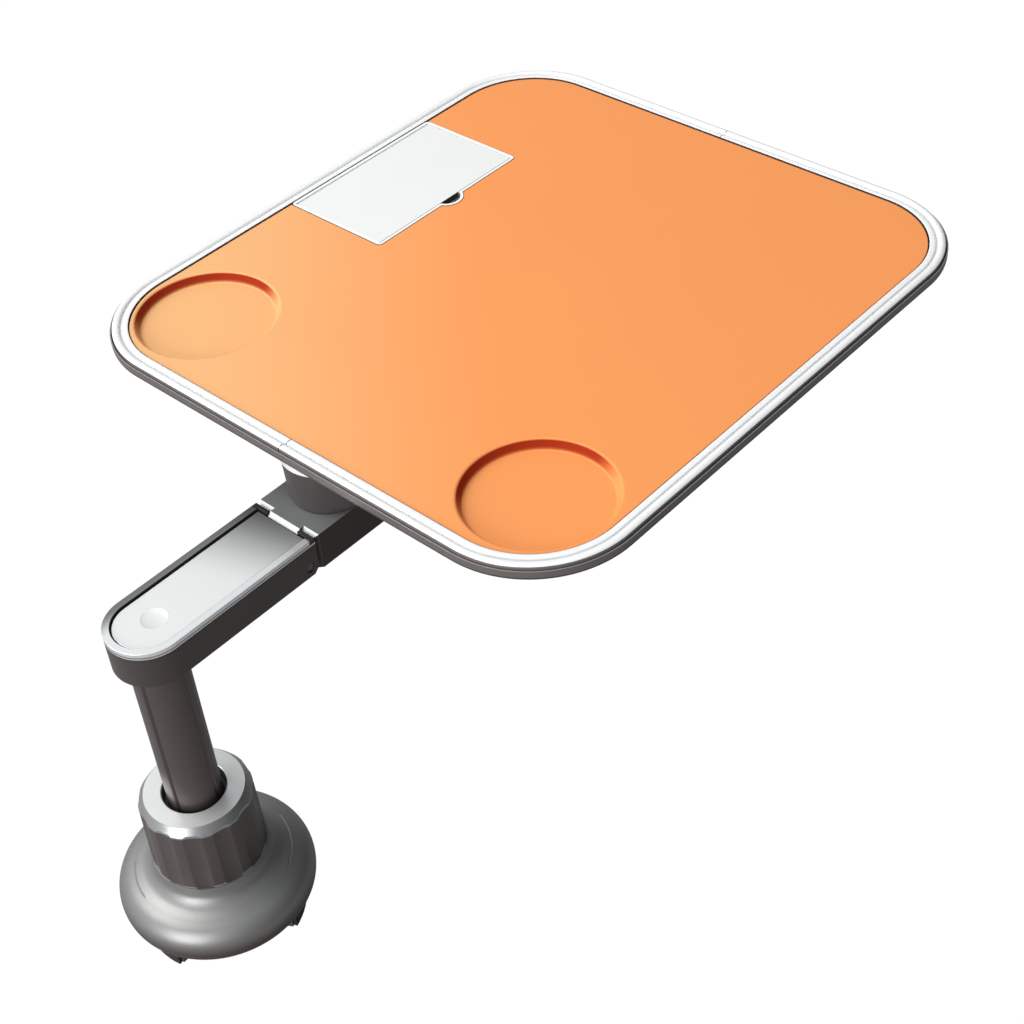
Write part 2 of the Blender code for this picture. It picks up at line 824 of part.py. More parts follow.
def make_hinge_washers():
    for side, name in ((1, "left"), (-1, "right")):
        inner = hinge_pin_radius + gap
        loops = []
        middle_y = side * (tongue_half_width - hinge_washer_thickness / 2)
        for radius, edge in ((inner, -1), (hinge_washer_radius, -1), (hinge_washer_radius, 1), (inner, 1)):
            y = edge * hinge_washer_thickness / 2
            loops.append([(x, y, z) for x, z in circle(radius, small_steps)])
        washer = lofted(loops, ring=True)
        add_piece(f"hinge_washer_{name}", washer, "steel", "fold", (hinge_x, middle_y, hinge_z))


# Drum and swivel bolt


def make_drum():
    low = arm_top + running_gap
    top = tray_low - gap
    neck = top - collar_height
    bolt_hole = swivel_bolt_radius + gap
    head_hole = swivel_head_radius + gap
    head_low = top - swivel_head
    profile = [
        (bolt_hole, low),
        (drum_low_radius, low),
        (drum_high_radius, neck - gap),
        (collar_inner_radius, neck - gap),
        (collar_inner_radius, top),
        (head_hole, top),
        (head_hole, head_low),
        (bolt_hole, head_low),
    ]
    middle = (swivel_reach, 0, 0)
    add_piece("swivel_drum", turned(profile, wide_steps, ring=True), "graphite", "swivel", middle)
    inner = collar_inner_radius + gap
    profile = [
        (inner, neck),
        (collar_radius, neck),
        (collar_radius, neck + collar_edge),
        (collar_top_radius, top),
        (inner, top),
    ]
    collar = turned(profile, wide_steps, ring=True)
    add_piece("drum_collar", collar, "bright_rim", "swivel", middle)


def make_swivel_bolt():
    middle = (swivel_reach, 0, 0)
    head_top = tray_low - 2 * gap
    head_low = tray_low - swivel_head
    washer_top = arm_bottom + block_recess_depth - gap
    washer_low = washer_top - swivel_washer_thickness
    nut_top = washer_low - gap
    nut_low = nut_top - swivel_nut_height
    profile = [
        (swivel_bolt_radius, nut_low),
        (swivel_bolt_radius, head_low),
        (swivel_head_radius, head_low),
        (swivel_head_radius, head_top),
    ]
    add_piece("swivel_bolt", turned(profile, fine_steps), "steel", "swivel", middle)
    hole = swivel_bolt_radius + gap
    washer = tube(hole, swivel_washer_radius, washer_low, washer_top, fine_steps)
    add_piece("swivel_washer", washer, "steel", "swivel", middle)
    hexagon = circle(swivel_nut_radius, 6)
    nut = add_piece("swivel_nut", prism(hexagon, nut_low, nut_top), "steel", "swivel", middle)
    cut(nut, "thread", disc(hole, nut_low - overrun, nut_top + overrun, fine_steps), middle)


# Tray


def tray_outline(grow):
    """The mat's rounded rectangle, grown outwards all round, about the tray's middle."""
    half_x = mat_half_x + grow
    half_y = mat_half_y + grow
    radius = mat_corner + grow
    outline = []
    for quarter, (side_x, side_y) in enumerate(((1, 1), (-1, 1), (-1, -1), (1, -1))):
        middle = (side_x * (half_x - radius), side_y * (half_y - radius))
        outline.extend(arc(radius, quarter * pi / 2, (quarter + 1) * pi / 2, corner_steps, middle))
    return outline


tray_middle = (tray_middle_x, 0, 0)


def recess_places():
    return [(recess_x, side * recess_y, 0) for side in (1, -1)]


def boss_places():
    return [
        (tray_middle_x + along_x * mat_half_x, side * boss_side_share * (recess_y - recess_radius), 0)
        for along_x in boss_reach_shares
        for side in (1, -1)
    ]


# The shell's rounded lower edge: shares of its inset, and of its height.
shell_edge_shares = [(1, 0), (0.50, 0.38), (0.22, 0.70), (0, 1)]


def make_shell():
    loops = [
        at_height(tray_outline(rim_width - shell_edge_inset * inset), tray_low + shell_edge_height * up)
        for inset, up in shell_edge_shares
    ]
    lip_top = rim_low + shell_lip_height
    loops.append(at_height(tray_outline(rim_width), lip_top))
    loops.append(at_height(tray_outline(rim_width - shell_lip), lip_top))
    loops.append(at_height(tray_outline(rim_width - shell_lip), deck_top))
    loops.append(at_height(tray_outline(rim_width - shell_wall), deck_top))
    floor_top = tray_low + shell_wall
    loops.append(at_height(tray_outline(rim_width - shell_wall), tray_low + shell_edge_height))
    floor_inset = shell_wall + shell_edge_inset * shell_floor_share
    loops.append(at_height(tray_outline(rim_width - floor_inset), floor_top))
    shell = add_piece("tray_shell", lofted(loops), "graphite", "swivel", tray_middle)
    for number, place in enumerate(boss_places()):
        boss = disc(boss_radius, floor_top - overrun / 2, deck_low - gap, small_steps)
        join(shell, f"boss_{number + 1}", boss, place)
    for number, place in enumerate(boss_places()):
        hole = turned(
            [
                (tray_screw_head_radius + gap, tray_low - overrun),
                (tray_screw_head_radius + gap, tray_low + tray_screw_head + gap),
                (boss_hole_radius, tray_low + tray_screw_head + gap),
                (boss_hole_radius, deck_low + overrun),
            ],
            small_steps,
        )
        cut(shell, f"hole_{number + 1}", hole, place)


def make_tray_screws():
    for number, place in enumerate(boss_places()):
        head_low = tray_low + gap
        head_top = tray_low + tray_screw_head
        profile = [
            (tray_screw_head_radius, head_low),
            (tray_screw_head_radius, head_top),
            (tray_screw_radius, head_top),
            (tray_screw_radius, deck_low - gap),
        ]
        screw = turned(profile, small_steps)
        add_piece(f"tray_screw_{number + 1}", screw, "steel", "swivel", place)


def make_deck():
    outline = tray_outline(rim_width - shell_wall - gap)
    deck = add_piece("tray_deck", prism(outline, deck_low, deck_top), "dark_plastic", "swivel", tray_middle)
    bore = cup_outer_radius + gap
    for number, place in enumerate(recess_places()):
        well = disc(bore + recess_skin, well_floor_top - recess_skin, deck_low + deck_thickness / 2, wide_steps)
        join(deck, f"well_{number + 1}", well, place)
    for number, place in enumerate(recess_places()):
        cut(deck, f"bore_{number + 1}", disc(bore, well_floor_top, deck_top + overrun, wide_steps), place)
    hole = frame_outline(gap)
    cut(deck, "frame_hole", prism(hole, deck_low - overrun, deck_top + overrun))


def make_mat():
    mat = add_piece("mat", prism(tray_outline(0), mat_low, mat_top), "orange_silicone", "swivel", tray_middle)
    for number, place in enumerate(recess_places()):
        cup = disc(cup_outer_radius, cup_low, mat_low + mat_thickness / 2, wide_steps)
        join(mat, f"cup_{number + 1}", cup, place)
    roll = recess_radius - recess_wall_radius
    for number, place in enumerate(recess_places()):
        profile = [
            (recess_floor_radius, recess_floor_z),
            (recess_wall_radius, mat_top - roll),
            (recess_wall_radius + roll * recess_roll_share, mat_top - roll * recess_roll_share),
            (recess_radius, mat_top),
            (recess_radius, mat_top + overrun),
        ]
        cut(mat, f"recess_{number + 1}", turned(profile, wide_steps), place)
    hole = frame_outline(gap, overrun + gap)
    cut(mat, "frame_hole", prism(hole, mat_low - overrun, mat_top + overrun))


# Rim: shares of its width out from the mat, and of its height.
rim_shares = [
    (0.03, 0.00),
    (0.03, 0.72),
    (0.07, 0.80),
    (0.35, 0.83),
    (0.42, 0.72),
    (0.49, 0.86),
    (0.57, 0.96),
    (0.67, 1.00),
    (0.78, 0.93),
    (0.86, 0.76),
    (0.88, 0.58),
    (0.86, 0.00),
]


def half_outline(grow, side):
    """One side's half of the outline, from one seam round to the other."""
    seam = rim_seam_reach + side * rim_seam_gap / 2
    whole = tray_outline(grow)
    kept = [(x, y) for x, y in whole if (y - seam) * side > 0]
    end_x = mat_half_x + grow
    if side > 0:
        return [(end_x, seam), *kept, (-end_x, seam)]
    return [(-end_x, seam), *kept, (end_x, seam)]


def make_rim(name, side):
    columns = [
        [(x, y, rim_low + rim_height * up) for x, y in half_outline(rim_width * out, side)]
        for out, up in rim_shares
    ]
    sections = [list(section) for section in zip(*columns)]
    add_piece(name, lofted(sections), "bright_rim", "swivel", tray_middle)


# Flap and frame


def frame_outline(grow, back_grow=None):
    """The frame from above, with the finger notch's bulge on its front side."""
    back_grow = grow if back_grow is None else back_grow
    half = flap_frame_length / 2 + grow
    front = flap_frame_front - grow
    back = flap_frame_back + back_grow
    radius = notch_radius + grow
    rise = notch_rise
    notch_x = flap_frame_reach + notch_reach_share * flap_frame_length
    middle_y = front + radius - rise
    half_angle = asin(sqrt(radius**2 - (radius - rise) ** 2) / radius)
    bulge = arc(radius, -pi / 2 - half_angle, -pi / 2 + half_angle, small_steps, (notch_x, middle_y))
    left = flap_frame_reach - half
    right = flap_frame_reach + half
    return [(left, back), (left, front), *bulge, (right, front), (right, back)]


def make_frame():
    low = flap_frame_top - flap_frame_depth
    frame = add_piece("flap_frame", prism(frame_outline(0), low, flap_frame_top), "white_plastic", "swivel")
    half = flap_frame_length / 2 - flap_frame_wall
    front = flap_frame_front + flap_frame_wall
    back = flap_frame_back - flap_frame_wall
    above = flap_frame_top + overrun
    bin_outline = rectangle(flap_frame_reach - half, flap_frame_reach + half, front, back)
    cut(frame, "bin", prism(bin_outline, low + flap_frame_floor, above))
    radius = notch_radius - notch_wall
    notch_x = flap_frame_reach + notch_reach_share * flap_frame_length
    middle_y = flap_frame_front + notch_radius - notch_rise
    notch = circle(radius, fine_steps, (notch_x, middle_y))
    cut(frame, "notch", prism(notch, flap_frame_top - notch_depth, above))
    hole = rod_along_x(flap_pin_radius + gap, flap_frame_length / 2 + overrun, small_steps)
    cut(frame, "pin_holes", hole, origins["flap"])


def make_flap():
    radius = flap_thickness / 2
    front = flap_frame_front + flap_frame_wall + flap_gap - flap_axis_y
    outline = [(front, -radius), *arc(radius, -pi / 2, pi / 2, small_steps // 2), (front, radius)]
    half = flap_frame_length / 2 - flap_frame_wall - flap_gap
    flap = add_piece("flap", along(outline, half), "light_silver", "flap", origins["flap"])
    for side, name in ((1, "right"), (-1, "left")):
        bore_half = flap_pin_reach / 2
        bore_x = flap_frame_reach + side * (half - bore_half + overrun)
        bore = rod_along_x(flap_pin_radius + gap, bore_half + overrun, small_steps)
        cut(flap, f"pin_bore_{name}", bore, (bore_x, flap_axis_y, flap_axis_z))
        outer_x = flap_frame_length / 2
        inner_x = half - flap_pin_reach + flap_gap
        pin_half = (outer_x - inner_x) / 2
        pin_x = flap_frame_reach + side * (outer_x + inner_x) / 2
        pin = rod_along_x(flap_pin_radius, pin_half, small_steps)
        add_piece(f"flap_pin_{name}", pin, "steel", "swivel", (pin_x, flap_axis_y, flap_axis_z))


def main():
    clear_scene()
    add_pivots()
    make_foot()
    make_insert()
    make_plate()
    for number in range(jaw_count):
        make_jaw(number)
    make_cover()
    make_knob()
    make_cam()
    make_sleeve()
    make_column()
    make_pivot()
    make_arm_body()
    make_bezel()
    make_lid()
    make_hinge_pin()
    make_block()
    make_hinge_washers()
    make_drum()
    make_swivel_bolt()
    make_shell()
    make_tray_screws()
    make_deck()
    make_mat()
    make_rim("rim_left", 1)
    make_rim("rim_right", -1)
    make_frame()
    make_flap()


main()
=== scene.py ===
import math

import bmesh
import bpy
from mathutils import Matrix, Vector


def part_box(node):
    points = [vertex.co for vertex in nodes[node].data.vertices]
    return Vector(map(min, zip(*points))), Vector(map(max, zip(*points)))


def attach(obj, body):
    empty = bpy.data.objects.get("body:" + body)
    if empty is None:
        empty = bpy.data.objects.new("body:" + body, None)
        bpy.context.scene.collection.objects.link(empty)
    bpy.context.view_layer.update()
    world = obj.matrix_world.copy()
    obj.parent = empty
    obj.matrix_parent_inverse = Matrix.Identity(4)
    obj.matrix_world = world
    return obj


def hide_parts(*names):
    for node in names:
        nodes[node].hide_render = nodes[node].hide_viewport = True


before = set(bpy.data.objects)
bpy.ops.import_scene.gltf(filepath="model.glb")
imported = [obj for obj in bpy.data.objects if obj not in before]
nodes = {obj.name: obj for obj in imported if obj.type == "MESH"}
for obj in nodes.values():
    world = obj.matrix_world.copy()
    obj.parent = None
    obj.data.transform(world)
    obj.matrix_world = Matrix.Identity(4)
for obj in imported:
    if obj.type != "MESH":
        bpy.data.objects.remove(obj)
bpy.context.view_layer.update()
print("frame loaded:", len(nodes), "nodes")

mergeReach = 1e-6  # points nearer than this are one
pickReach = 1e-5  # how near a picked edge lies to its place
past = 0.002  # how far a tool runs past what it cuts
nearlyWhole = 0.9999  # keeps a round corner just under half the width
origin = (0, 0, 0)


# mesh helpers, all through the ordinary operators

def clearSelection():
    if bpy.context.object and bpy.context.object.mode != "OBJECT":
        bpy.ops.object.mode_set(mode="OBJECT")
    bpy.ops.object.select_all(action="DESELECT")


def selectOnly(piece):
    clearSelection()
    piece.select_set(True)
    bpy.context.view_layer.objects.active = piece


def nameNew(name):
    piece = bpy.context.object
    piece.name = name
    piece.data.name = name
    return piece


def openMesh(piece, kind="VERT"):
    selectOnly(piece)
    bpy.ops.object.mode_set(mode="EDIT")
    bpy.ops.mesh.select_mode(type=kind)


def closeMesh():
    bpy.ops.object.mode_set(mode="OBJECT")


def selectMesh():
    bpy.ops.mesh.select_all(action="SELECT")


def pick(kind, test):
    # selects the vertices or edges whose middle passes the test
    bpy.ops.mesh.select_mode(type=kind)
    bpy.ops.mesh.select_all(action="DESELECT")
    form = bmesh.from_edit_mesh(bpy.context.object.data)
    if kind == "VERT":
        for vert in form.verts:
            if test(vert.co, vert.normal):
                vert.select = True
    else:
        for edge in form.edges:
            start, end = (vert.co for vert in edge.verts)
            if test((start + end) / 2, (end - start).normalized()):
                edge.select = True
    form.select_flush_mode()
    bmesh.update_edit_mesh(bpy.context.object.data)


def move(x, y, z):
    bpy.ops.transform.translate(value=(x, y, z))


def turnMesh(degrees, axis, middle):
    # the operator turns the other way, so the sign changes
    bpy.ops.transform.rotate(value=-math.radians(degrees), orient_axis=axis, center_override=middle)


def settle(piece):
    # place, turn and size go into the mesh
    selectOnly(piece)
    bpy.ops.object.transform_apply(location=True, rotation=True, scale=True)


def cleanMesh(piece):
    openMesh(piece)
    selectMesh()
    bpy.ops.mesh.remove_doubles(threshold=mergeReach)
    bpy.ops.mesh.normals_make_consistent(inside=False)
    closeMesh()


def addModifier(piece, kind, **settings):
    modifier = piece.modifiers.new(kind.lower(), kind)
    for key, value in settings.items():
        setattr(modifier, key, value)


def applyAll(piece):
    selectOnly(piece)
    for modifier in list(piece.modifiers):
        bpy.ops.object.modifier_apply(modifier=modifier.name)


def bevelEdges(piece, width, segments, angle):
    # rounds the edges that are sharper than the angle, in degrees
    addModifier(piece, "BEVEL", width=width, segments=segments, limit_method="ANGLE",
                angle_limit=math.radians(angle), harden_normals=False, miter_outer="MITER_ARC")
    applyAll(piece)


def bevelPicked(width, segments):
    bpy.ops.mesh.bevel(offset=width, offset_type="OFFSET", segments=segments, affect="EDGES")


def smoothPiece(piece, angle):
    # shades smooth up to the angle, in degrees
    selectOnly(piece)
    bpy.ops.object.shade_smooth_by_angle(angle=math.radians(angle))
    addModifier(piece, "WEIGHTED_NORMAL", keep_sharp=True, weight=80)
    applyAll(piece)


def cutAway(piece, *tools, operation="DIFFERENCE"):
    for tool in tools:
        addModifier(piece, "BOOLEAN", operation=operation, solver="EXACT", object=tool)
    applyAll(piece)
    for tool in tools:
        bpy.data.objects.remove(tool, do_unlink=True)


def between(a, b, c, d, t):
    # a smooth curve through b and c, t from 0 to 1 on the way
    square, cube = 2 * a - 5 * b + 4 * c - d, 3 * b - a - 3 * c + d
    return 0.5 * (2 * b + (c - a) * t + square * t * t + cube * t ** 3)


def smoothLine(points, steps):
    # a smooth line through the points, in so many steps from each to the next
    line = []
    last = len(points) - 1
    for k in range(last):
        near = [points[min(max(k + j, 0), last)] for j in (-1, 0, 1, 2)]
        for step in range(steps):
            line.append(tuple(between(*four, step / steps) for four in zip(*near)))
    return [*line, points[-1]]


def bend(middle, radius, start, end, steps):
    # points on a round corner, angles in degrees
    angles = [math.radians(start + (end - start) * k / steps) for k in range(steps + 1)]
    return [(middle[0] + radius * math.cos(a), middle[1] + radius * math.sin(a)) for a in angles]


def turnedPiece(name, outline, steps, centre=(0, 0), start=0, sweep=360):
    # an outline of (radius, height) points, spun round an upright axis
    clearSelection()
    bpy.ops.mesh.primitive_plane_add(size=0.001, location=origin)
    piece = nameNew(name)
    openMesh(piece)
    selectMesh()
    bpy.ops.mesh.merge(type="CENTER")
    move(outline[0][0], 0, outline[0][1])
    for before, after in zip(outline, outline[1:]):
        step = (after[0] - before[0], 0, after[1] - before[1])
        bpy.ops.mesh.extrude_vertices_move(TRANSFORM_OT_translate={"value": step})
    ends = [Vector((r, 0, z)) for r, z in (outline[0], outline[-1])]
    if max(outline[0][0], outline[-1][0]) > 0:
        pick("VERT", lambda at, way: min((at - end).length for end in ends) < mergeReach)
        bpy.ops.mesh.edge_face_add()
    selectMesh()
    if start:
        turnMesh(start, "Z", origin)
    bpy.ops.mesh.spin(steps=steps, angle=math.radians(sweep), center=origin, axis=(0, 0, 1))
    selectMesh()
    bpy.ops.mesh.remove_doubles(threshold=mergeReach)
    if sweep < 360:
        selectMesh()
        bpy.ops.mesh.fill_holes(sides=0)
        selectMesh()
    bpy.ops.mesh.normals_make_consistent(inside=False)
    move(centre[0], centre[1], 0)
    closeMesh()
    return piece


def roundedPlate(name, low, high, corner, steps=1, test=None, profile=()):
    # a plate between two corners of its box, with round upright corners
    # each step of the profile goes so far in and so far up at its top
    clearSelection()
    middle = ((low[0] + high[0]) / 2, (low[1] + high[1]) / 2, low[2])
    bpy.ops.mesh.primitive_plane_add(size=1, location=middle)
    piece = nameNew(name)
    openMesh(piece)
    selectMesh()
    bpy.ops.transform.resize(value=(high[0] - low[0], high[1] - low[1], 1), center_override=middle)
    if corner:
        if test:
            pick("VERT", lambda at, way: test(at.x, at.y))
        bpy.ops.mesh.bevel(offset=corner, offset_pct=0, segments=steps, affect="VERTICES")
    selectMesh()
    bpy.ops.mesh.extrude_region_move(TRANSFORM_OT_translate={"value": (0, 0, high[2] - low[2])})
    for reach, rise in profile:
        bpy.ops.mesh.inset(thickness=reach, depth=rise)
    selectMesh()
    bpy.ops.mesh.normals_make_consistent(inside=False)
    closeMesh()
    settle(piece)
    return piece


def stepsOf(points):
    # inset steps between (reach inwards, height) points
    return [(b[0] - a[0], b[1] - a[1]) for a, b in zip(points, points[1:])]


def rollSteps(radius, steps):
    # a quarter round, from upright to level
    angles = [math.pi / 2 * k / steps for k in range(steps + 1)]
    return stepsOf([(radius * (1 - math.cos(a)), radius * math.sin(a)) for a in angles])


def box(name, low, high):
    return roundedPlate(name, low, high, 0)


def rod(name, radius, start, end, steps=48):
    # a round bar between two places
    start, end = Vector(start), Vector(end)
    clearSelection()
    turn = (end - start).to_track_quat("Z", "Y").to_euler()
    bpy.ops.mesh.primitive_cylinder_add(vertices=steps, radius=radius, depth=(end - start).length,
                                        location=(start + end) / 2, rotation=turn)
    piece = nameNew(name)
    settle(piece)
    return piece


def giveFinish(piece, material):
    piece.data.materials.clear()
    piece.data.materials.append(material)


def keepPiece(piece, body, material, replaced=()):
    giveFinish(piece, material)
    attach(piece, body)
    if replaced:
        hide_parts(*replaced)


# shader helpers

class Wire:
    # one socket with maths on it
    def __init__(self, graph, socket):
        self.graph = graph
        self.socket = socket

    def maths(self, operation, first, second):
        return self.graph.add("ShaderNodeMath", {"operation": operation}, first, second)

    def __add__(self, other):
        return self.maths("ADD", self, other)

    def __radd__(self, other):
        return self.maths("ADD", other, self)

    def __sub__(self, other):
        return self.maths("SUBTRACT", self, other)

    def __rsub__(self, other):
        return self.maths("SUBTRACT", other, self)

    def __mul__(self, other):
        return self.maths("MULTIPLY", self, other)

    def __rmul__(self, other):
        return self.maths("MULTIPLY", other, self)

    def __lt__(self, other):
        return self.maths("LESS_THAN", self, other)

    def __gt__(self, other):
        return self.maths("GREATER_THAN", self, other)

    def __abs__(self):
        return self.maths("ABSOLUTE", self, 0)


class Graph:
    def __init__(self, name):
        self.material = bpy.data.materials.new(name)
        self.material.use_nodes = True
        self.tree = self.material.node_tree
        self.shader = self.tree.nodes["Principled BSDF"]

    def add(self, kind, settings, *values, out=0, **named):
        node = self.tree.nodes.new(kind)
        for key, value in settings.items():
            setattr(node, key, value)
        for key, value in [*enumerate(values), *named.items()]:
            if isinstance(key, str) and key.replace("_", " ") in node.inputs:
                key = key.replace("_", " ")
            self.feed(node.inputs[key], value)
        return Wire(self, node.outputs[out])

    def feed(self, socket, value):
        if isinstance(value, Wire):
            self.tree.links.new(value.socket, socket)
        elif hasattr(socket.default_value, "__len__") and len(socket.default_value) == 4 and len(value) == 3:
            socket.default_value = (*value, 1)
        else:
            socket.default_value = value

    def set(self, **sockets):
        for key, value in sockets.items():
            self.feed(self.shader.inputs[key.replace("_", " ")], value)

    def place(self):
        return self.add("ShaderNodeTexCoord", {}, out=3)

    def facing(self):
        return self.add("ShaderNodeTexCoord", {}, out=1)

    def split(self, vector, keys):
        # the three numbers of a vector, by name
        node = self.add("ShaderNodeSeparateXYZ", {}, vector).socket.node
        return {key: Wire(self, node.outputs[n]) for n, key in enumerate(keys)}

    def stretched(self, scale):
        return self.add("ShaderNodeMapping", {}, Vector=self.place(), Scale=scale)

    def cloud(self, scale):
        # broad mottling
        return self.add("ShaderNodeTexNoise", {}, Vector=self.place(), Scale=scale, Detail=4, Roughness=0.6)

    def grain(self, scale, stretch):
        # fine specks, drawn out along an axis where the stretch is small
        return self.add("ShaderNodeTexNoise", {}, Vector=self.stretched(stretch), Scale=scale, Detail=2,
                        Roughness=0.5)

    def mix(self, share, first, second):
        node = self.tree.nodes.new("ShaderNodeMix")
        node.data_type = "RGBA"
        self.feed(node.inputs[0], share)
        self.feed(node.inputs[6], first)
        self.feed(node.inputs[7], second)
        return Wire(self, node.outputs[2])

    def shades(self, share, look):
        # from a darker to a lighter shade of the look's colour
        darker = tuple(c * (1 - look["mottle"]) for c in look["colour"])
        lighter = tuple(min(c * (1 + look["mottle"]), 1) for c in look["colour"])
        return self.mix(share, darker, lighter)

    def bump(self, height, strength, distance):
        return self.add("ShaderNodeBump", {}, Height=height, Strength=strength, Distance=distance)


def finishOf(name, look):
    # a plain finish with mottled colour, uneven roughness and fine grain
    graph = Graph(name)
    cloud = graph.cloud(look["cloudScale"])
    grain = graph.grain(look["grainScale"], look["stretch"])
    colour = graph.shades(cloud * (1 - look["fleck"]) + grain * look["fleck"], look)
    rough = look["rough"] + (grain - 0.5) * look["roughSpread"]
    graph.set(Base_Color=colour, Roughness=rough, Metallic=look["metal"],
              Normal=graph.bump(grain, look["bump"], look["bumpDepth"]))
    return graph.material


plainLook = dict(colour=(0.5, 0.5, 0.5), mottle=0.06, cloudScale=40, grainScale=1500, stretch=(1, 1, 1),
                 fleck=0.4, rough=0.45, roughSpread=0.1, metal=0.0, shine=0.5, bump=0.15, bumpDepth=0.0002)
looks = {
    "silicone": dict(colour=(0.96, 0.33, 0.10), mottle=0.05, cloudScale=9, grainScale=2600, rough=0.62,
                     bump=0.2),
    "satinSilver": dict(colour=(0.33, 0.34, 0.33), metal=0.75, rough=0.36, grainScale=3200, fleck=0.7,
                        mottle=0.1),
    "lightSilver": dict(colour=(0.78, 0.80, 0.78), metal=0.3, rough=0.38, grainScale=3000, mottle=0.03),
    "brightRim": dict(colour=(0.84, 0.85, 0.85), metal=0.35, rough=0.25, grainScale=2400, mottle=0.02,
                      bump=0.05),
    "graphite": dict(colour=(0.085, 0.078, 0.075), metal=0.4, rough=0.42, grainScale=2400, mottle=0.12),
    "blockGrey": dict(colour=(0.12, 0.125, 0.125), metal=0.3, rough=0.46, grainScale=2400, mottle=0.1),
    "columnGrey": dict(colour=(0.085, 0.08, 0.08), metal=0.7, rough=0.4, grainScale=1800,
                       stretch=(1, 1, 0.03)),
    "whitePlastic": dict(colour=(0.80, 0.82, 0.81), rough=0.35, mottle=0.02),
    "darkPlastic": dict(colour=(0.045, 0.045, 0.045), rough=0.55, bump=0.4, mottle=0.15),
    "blackRubber": dict(colour=(0.02, 0.02, 0.02), rough=0.8, bump=0.5, mottle=0.2),
    "nylon": dict(colour=(0.09, 0.09, 0.09), rough=0.55, mottle=0.12),
    "steel": dict(colour=(0.55, 0.56, 0.57), metal=1.0, rough=0.28, stretch=(1, 1, 0.05), mottle=0.05),
}
finishes = {name: finishOf(name, {**plainLook, **look}) for name, look in looks.items()}

nodeFinishes = {
    "silicone": ["mat"],
    "satinSilver": ["bell_cover", "knob"],
    "lightSilver": ["arm_lid", "flap"],
    "brightRim": ["arm_bezel", "drum_collar", "rim_left", "rim_right"],
    "graphite": ["arm_body", "swivel_drum", "tray_shell"],
    "blockGrey": ["swivel_block"],
    "columnGrey": ["column_tube"],
    "whitePlastic": ["flap_frame"],
    "darkPlastic": ["insert_cup", "base_plate", "guide_sleeve", "block_cap", "tray_deck"],
    "blackRubber": ["foot_pad", "jaw_pad_1", "jaw_pad_2", "jaw_pad_3"],
    "nylon": ["guide_bush", "cam_sleeve", "jaw_1", "jaw_2", "jaw_3"],
    "steel": ["column_plug", "pivot_washer", "pivot_screw", "hinge_pin", "hinge_washer_left",
              "hinge_washer_right", "swivel_bolt", "swivel_washer", "swivel_nut", "flap_pin_left",
              "flap_pin_right", "tray_screw_1", "tray_screw_2", "tray_screw_3", "tray_screw_4"],
}
for finish, names in nodeFinishes.items():
    for name in names:
        giveFinish(nodes[name], finishes[finish])
print("finishes on the nodes")


def mask(graph, value, low, high):
    # 0 below low, 1 above high, soft between
    return graph.add("ShaderNodeMapRange", {"interpolation_type": "SMOOTHSTEP"}, Value=value, From_Min=low,
                     From_Max=high)


layeredSpread = 0.08  # how far the grain moves the roughness of a layered finish


def layered(name, look, *layers):
    # a finish with other finishes over it, where their masks say so
    # a mask reads x y z, the place, and u v w, the way that the surface faces
    graph = Graph(name)
    at = {**graph.split(graph.place(), "xyz"), **graph.split(graph.facing(), "uvw")}
    first = {**plainLook, **look}
    grain = graph.grain(first["grainScale"], first["stretch"])
    tint = graph.cloud(first["cloudScale"]) * 0.5 + grain * 0.5
    colour = graph.shades(tint, first)
    rough = first["rough"] - layeredSpread / 2 + grain * layeredSpread
    metal = first["metal"]
    for other, choose in layers:
        other = {**first, **other}
        chosen = choose(graph, at)
        colour = graph.mix(chosen, colour, graph.shades(tint, other))
        rough = chosen * (other["rough"] - rough) + rough
        if other["metal"] != metal:
            metal = chosen * (other["metal"] - metal) + metal
    graph.set(Base_Color=colour, Roughness=rough, Metallic=metal, Specular_IOR_Level=first["shine"],
              Normal=graph.bump(grain, first["bump"], first["bumpDepth"]))
    return graph.material


# looks that several pieces share
darkSide = dict(colour=(0.062, 0.052, 0.050), metal=0.35, rough=0.42, grainScale=2600, mottle=0.12)
silver = dict(colour=(0.72, 0.74, 0.74), metal=0.8, rough=0.24, grainScale=2400, mottle=0.04, bump=0.05)


# bell over the cup holder's mouth

bell = dict(
    outline=[(0.0275, 0.0634), (0.0286, 0.0583), (0.0322, 0.0547), (0.0374, 0.0527), (0.0424, 0.0503),
             (0.0460, 0.0462), (0.04735, 0.0411), (0.0466, 0.0355), (0.0440, 0.0328), (0.0405, 0.0320)],
    inner=[(0.0388, 0.0320), (0.0430, 0.0358), (0.0450, 0.0400), (0.0425, 0.0468), (0.0370, 0.0500),
           (0.0308, 0.0515), (0.0272, 0.0550), (0.0254, 0.0608)],
    hole=0.0194, top=0.0634, lipHeight=0.0024,
    marks=[(298, 351), (135, 169)],  # two plain arcs, in degrees
    markRadius=0.0374, markHeight=0.0528, markHalf=0.00038, markRise=0.001,
    satin=dict(colour=(0.27, 0.272, 0.266), metal=0.7, rough=0.44, grainScale=3200, mottle=0.07),
    # painted shade: the bell turns dark brown toward its lower wall
    lowerShade=dict(colour=(0.070, 0.055, 0.050), metal=0.5), lowerShadeFrom=0.0485, lowerShadeTo=0.0375)

finishes["bellSilver"] = layered(
    "bellSilver", bell["satin"],
    (bell["lowerShade"], lambda graph, at: mask(graph, at["z"], bell["lowerShadeFrom"], bell["lowerShadeTo"])))


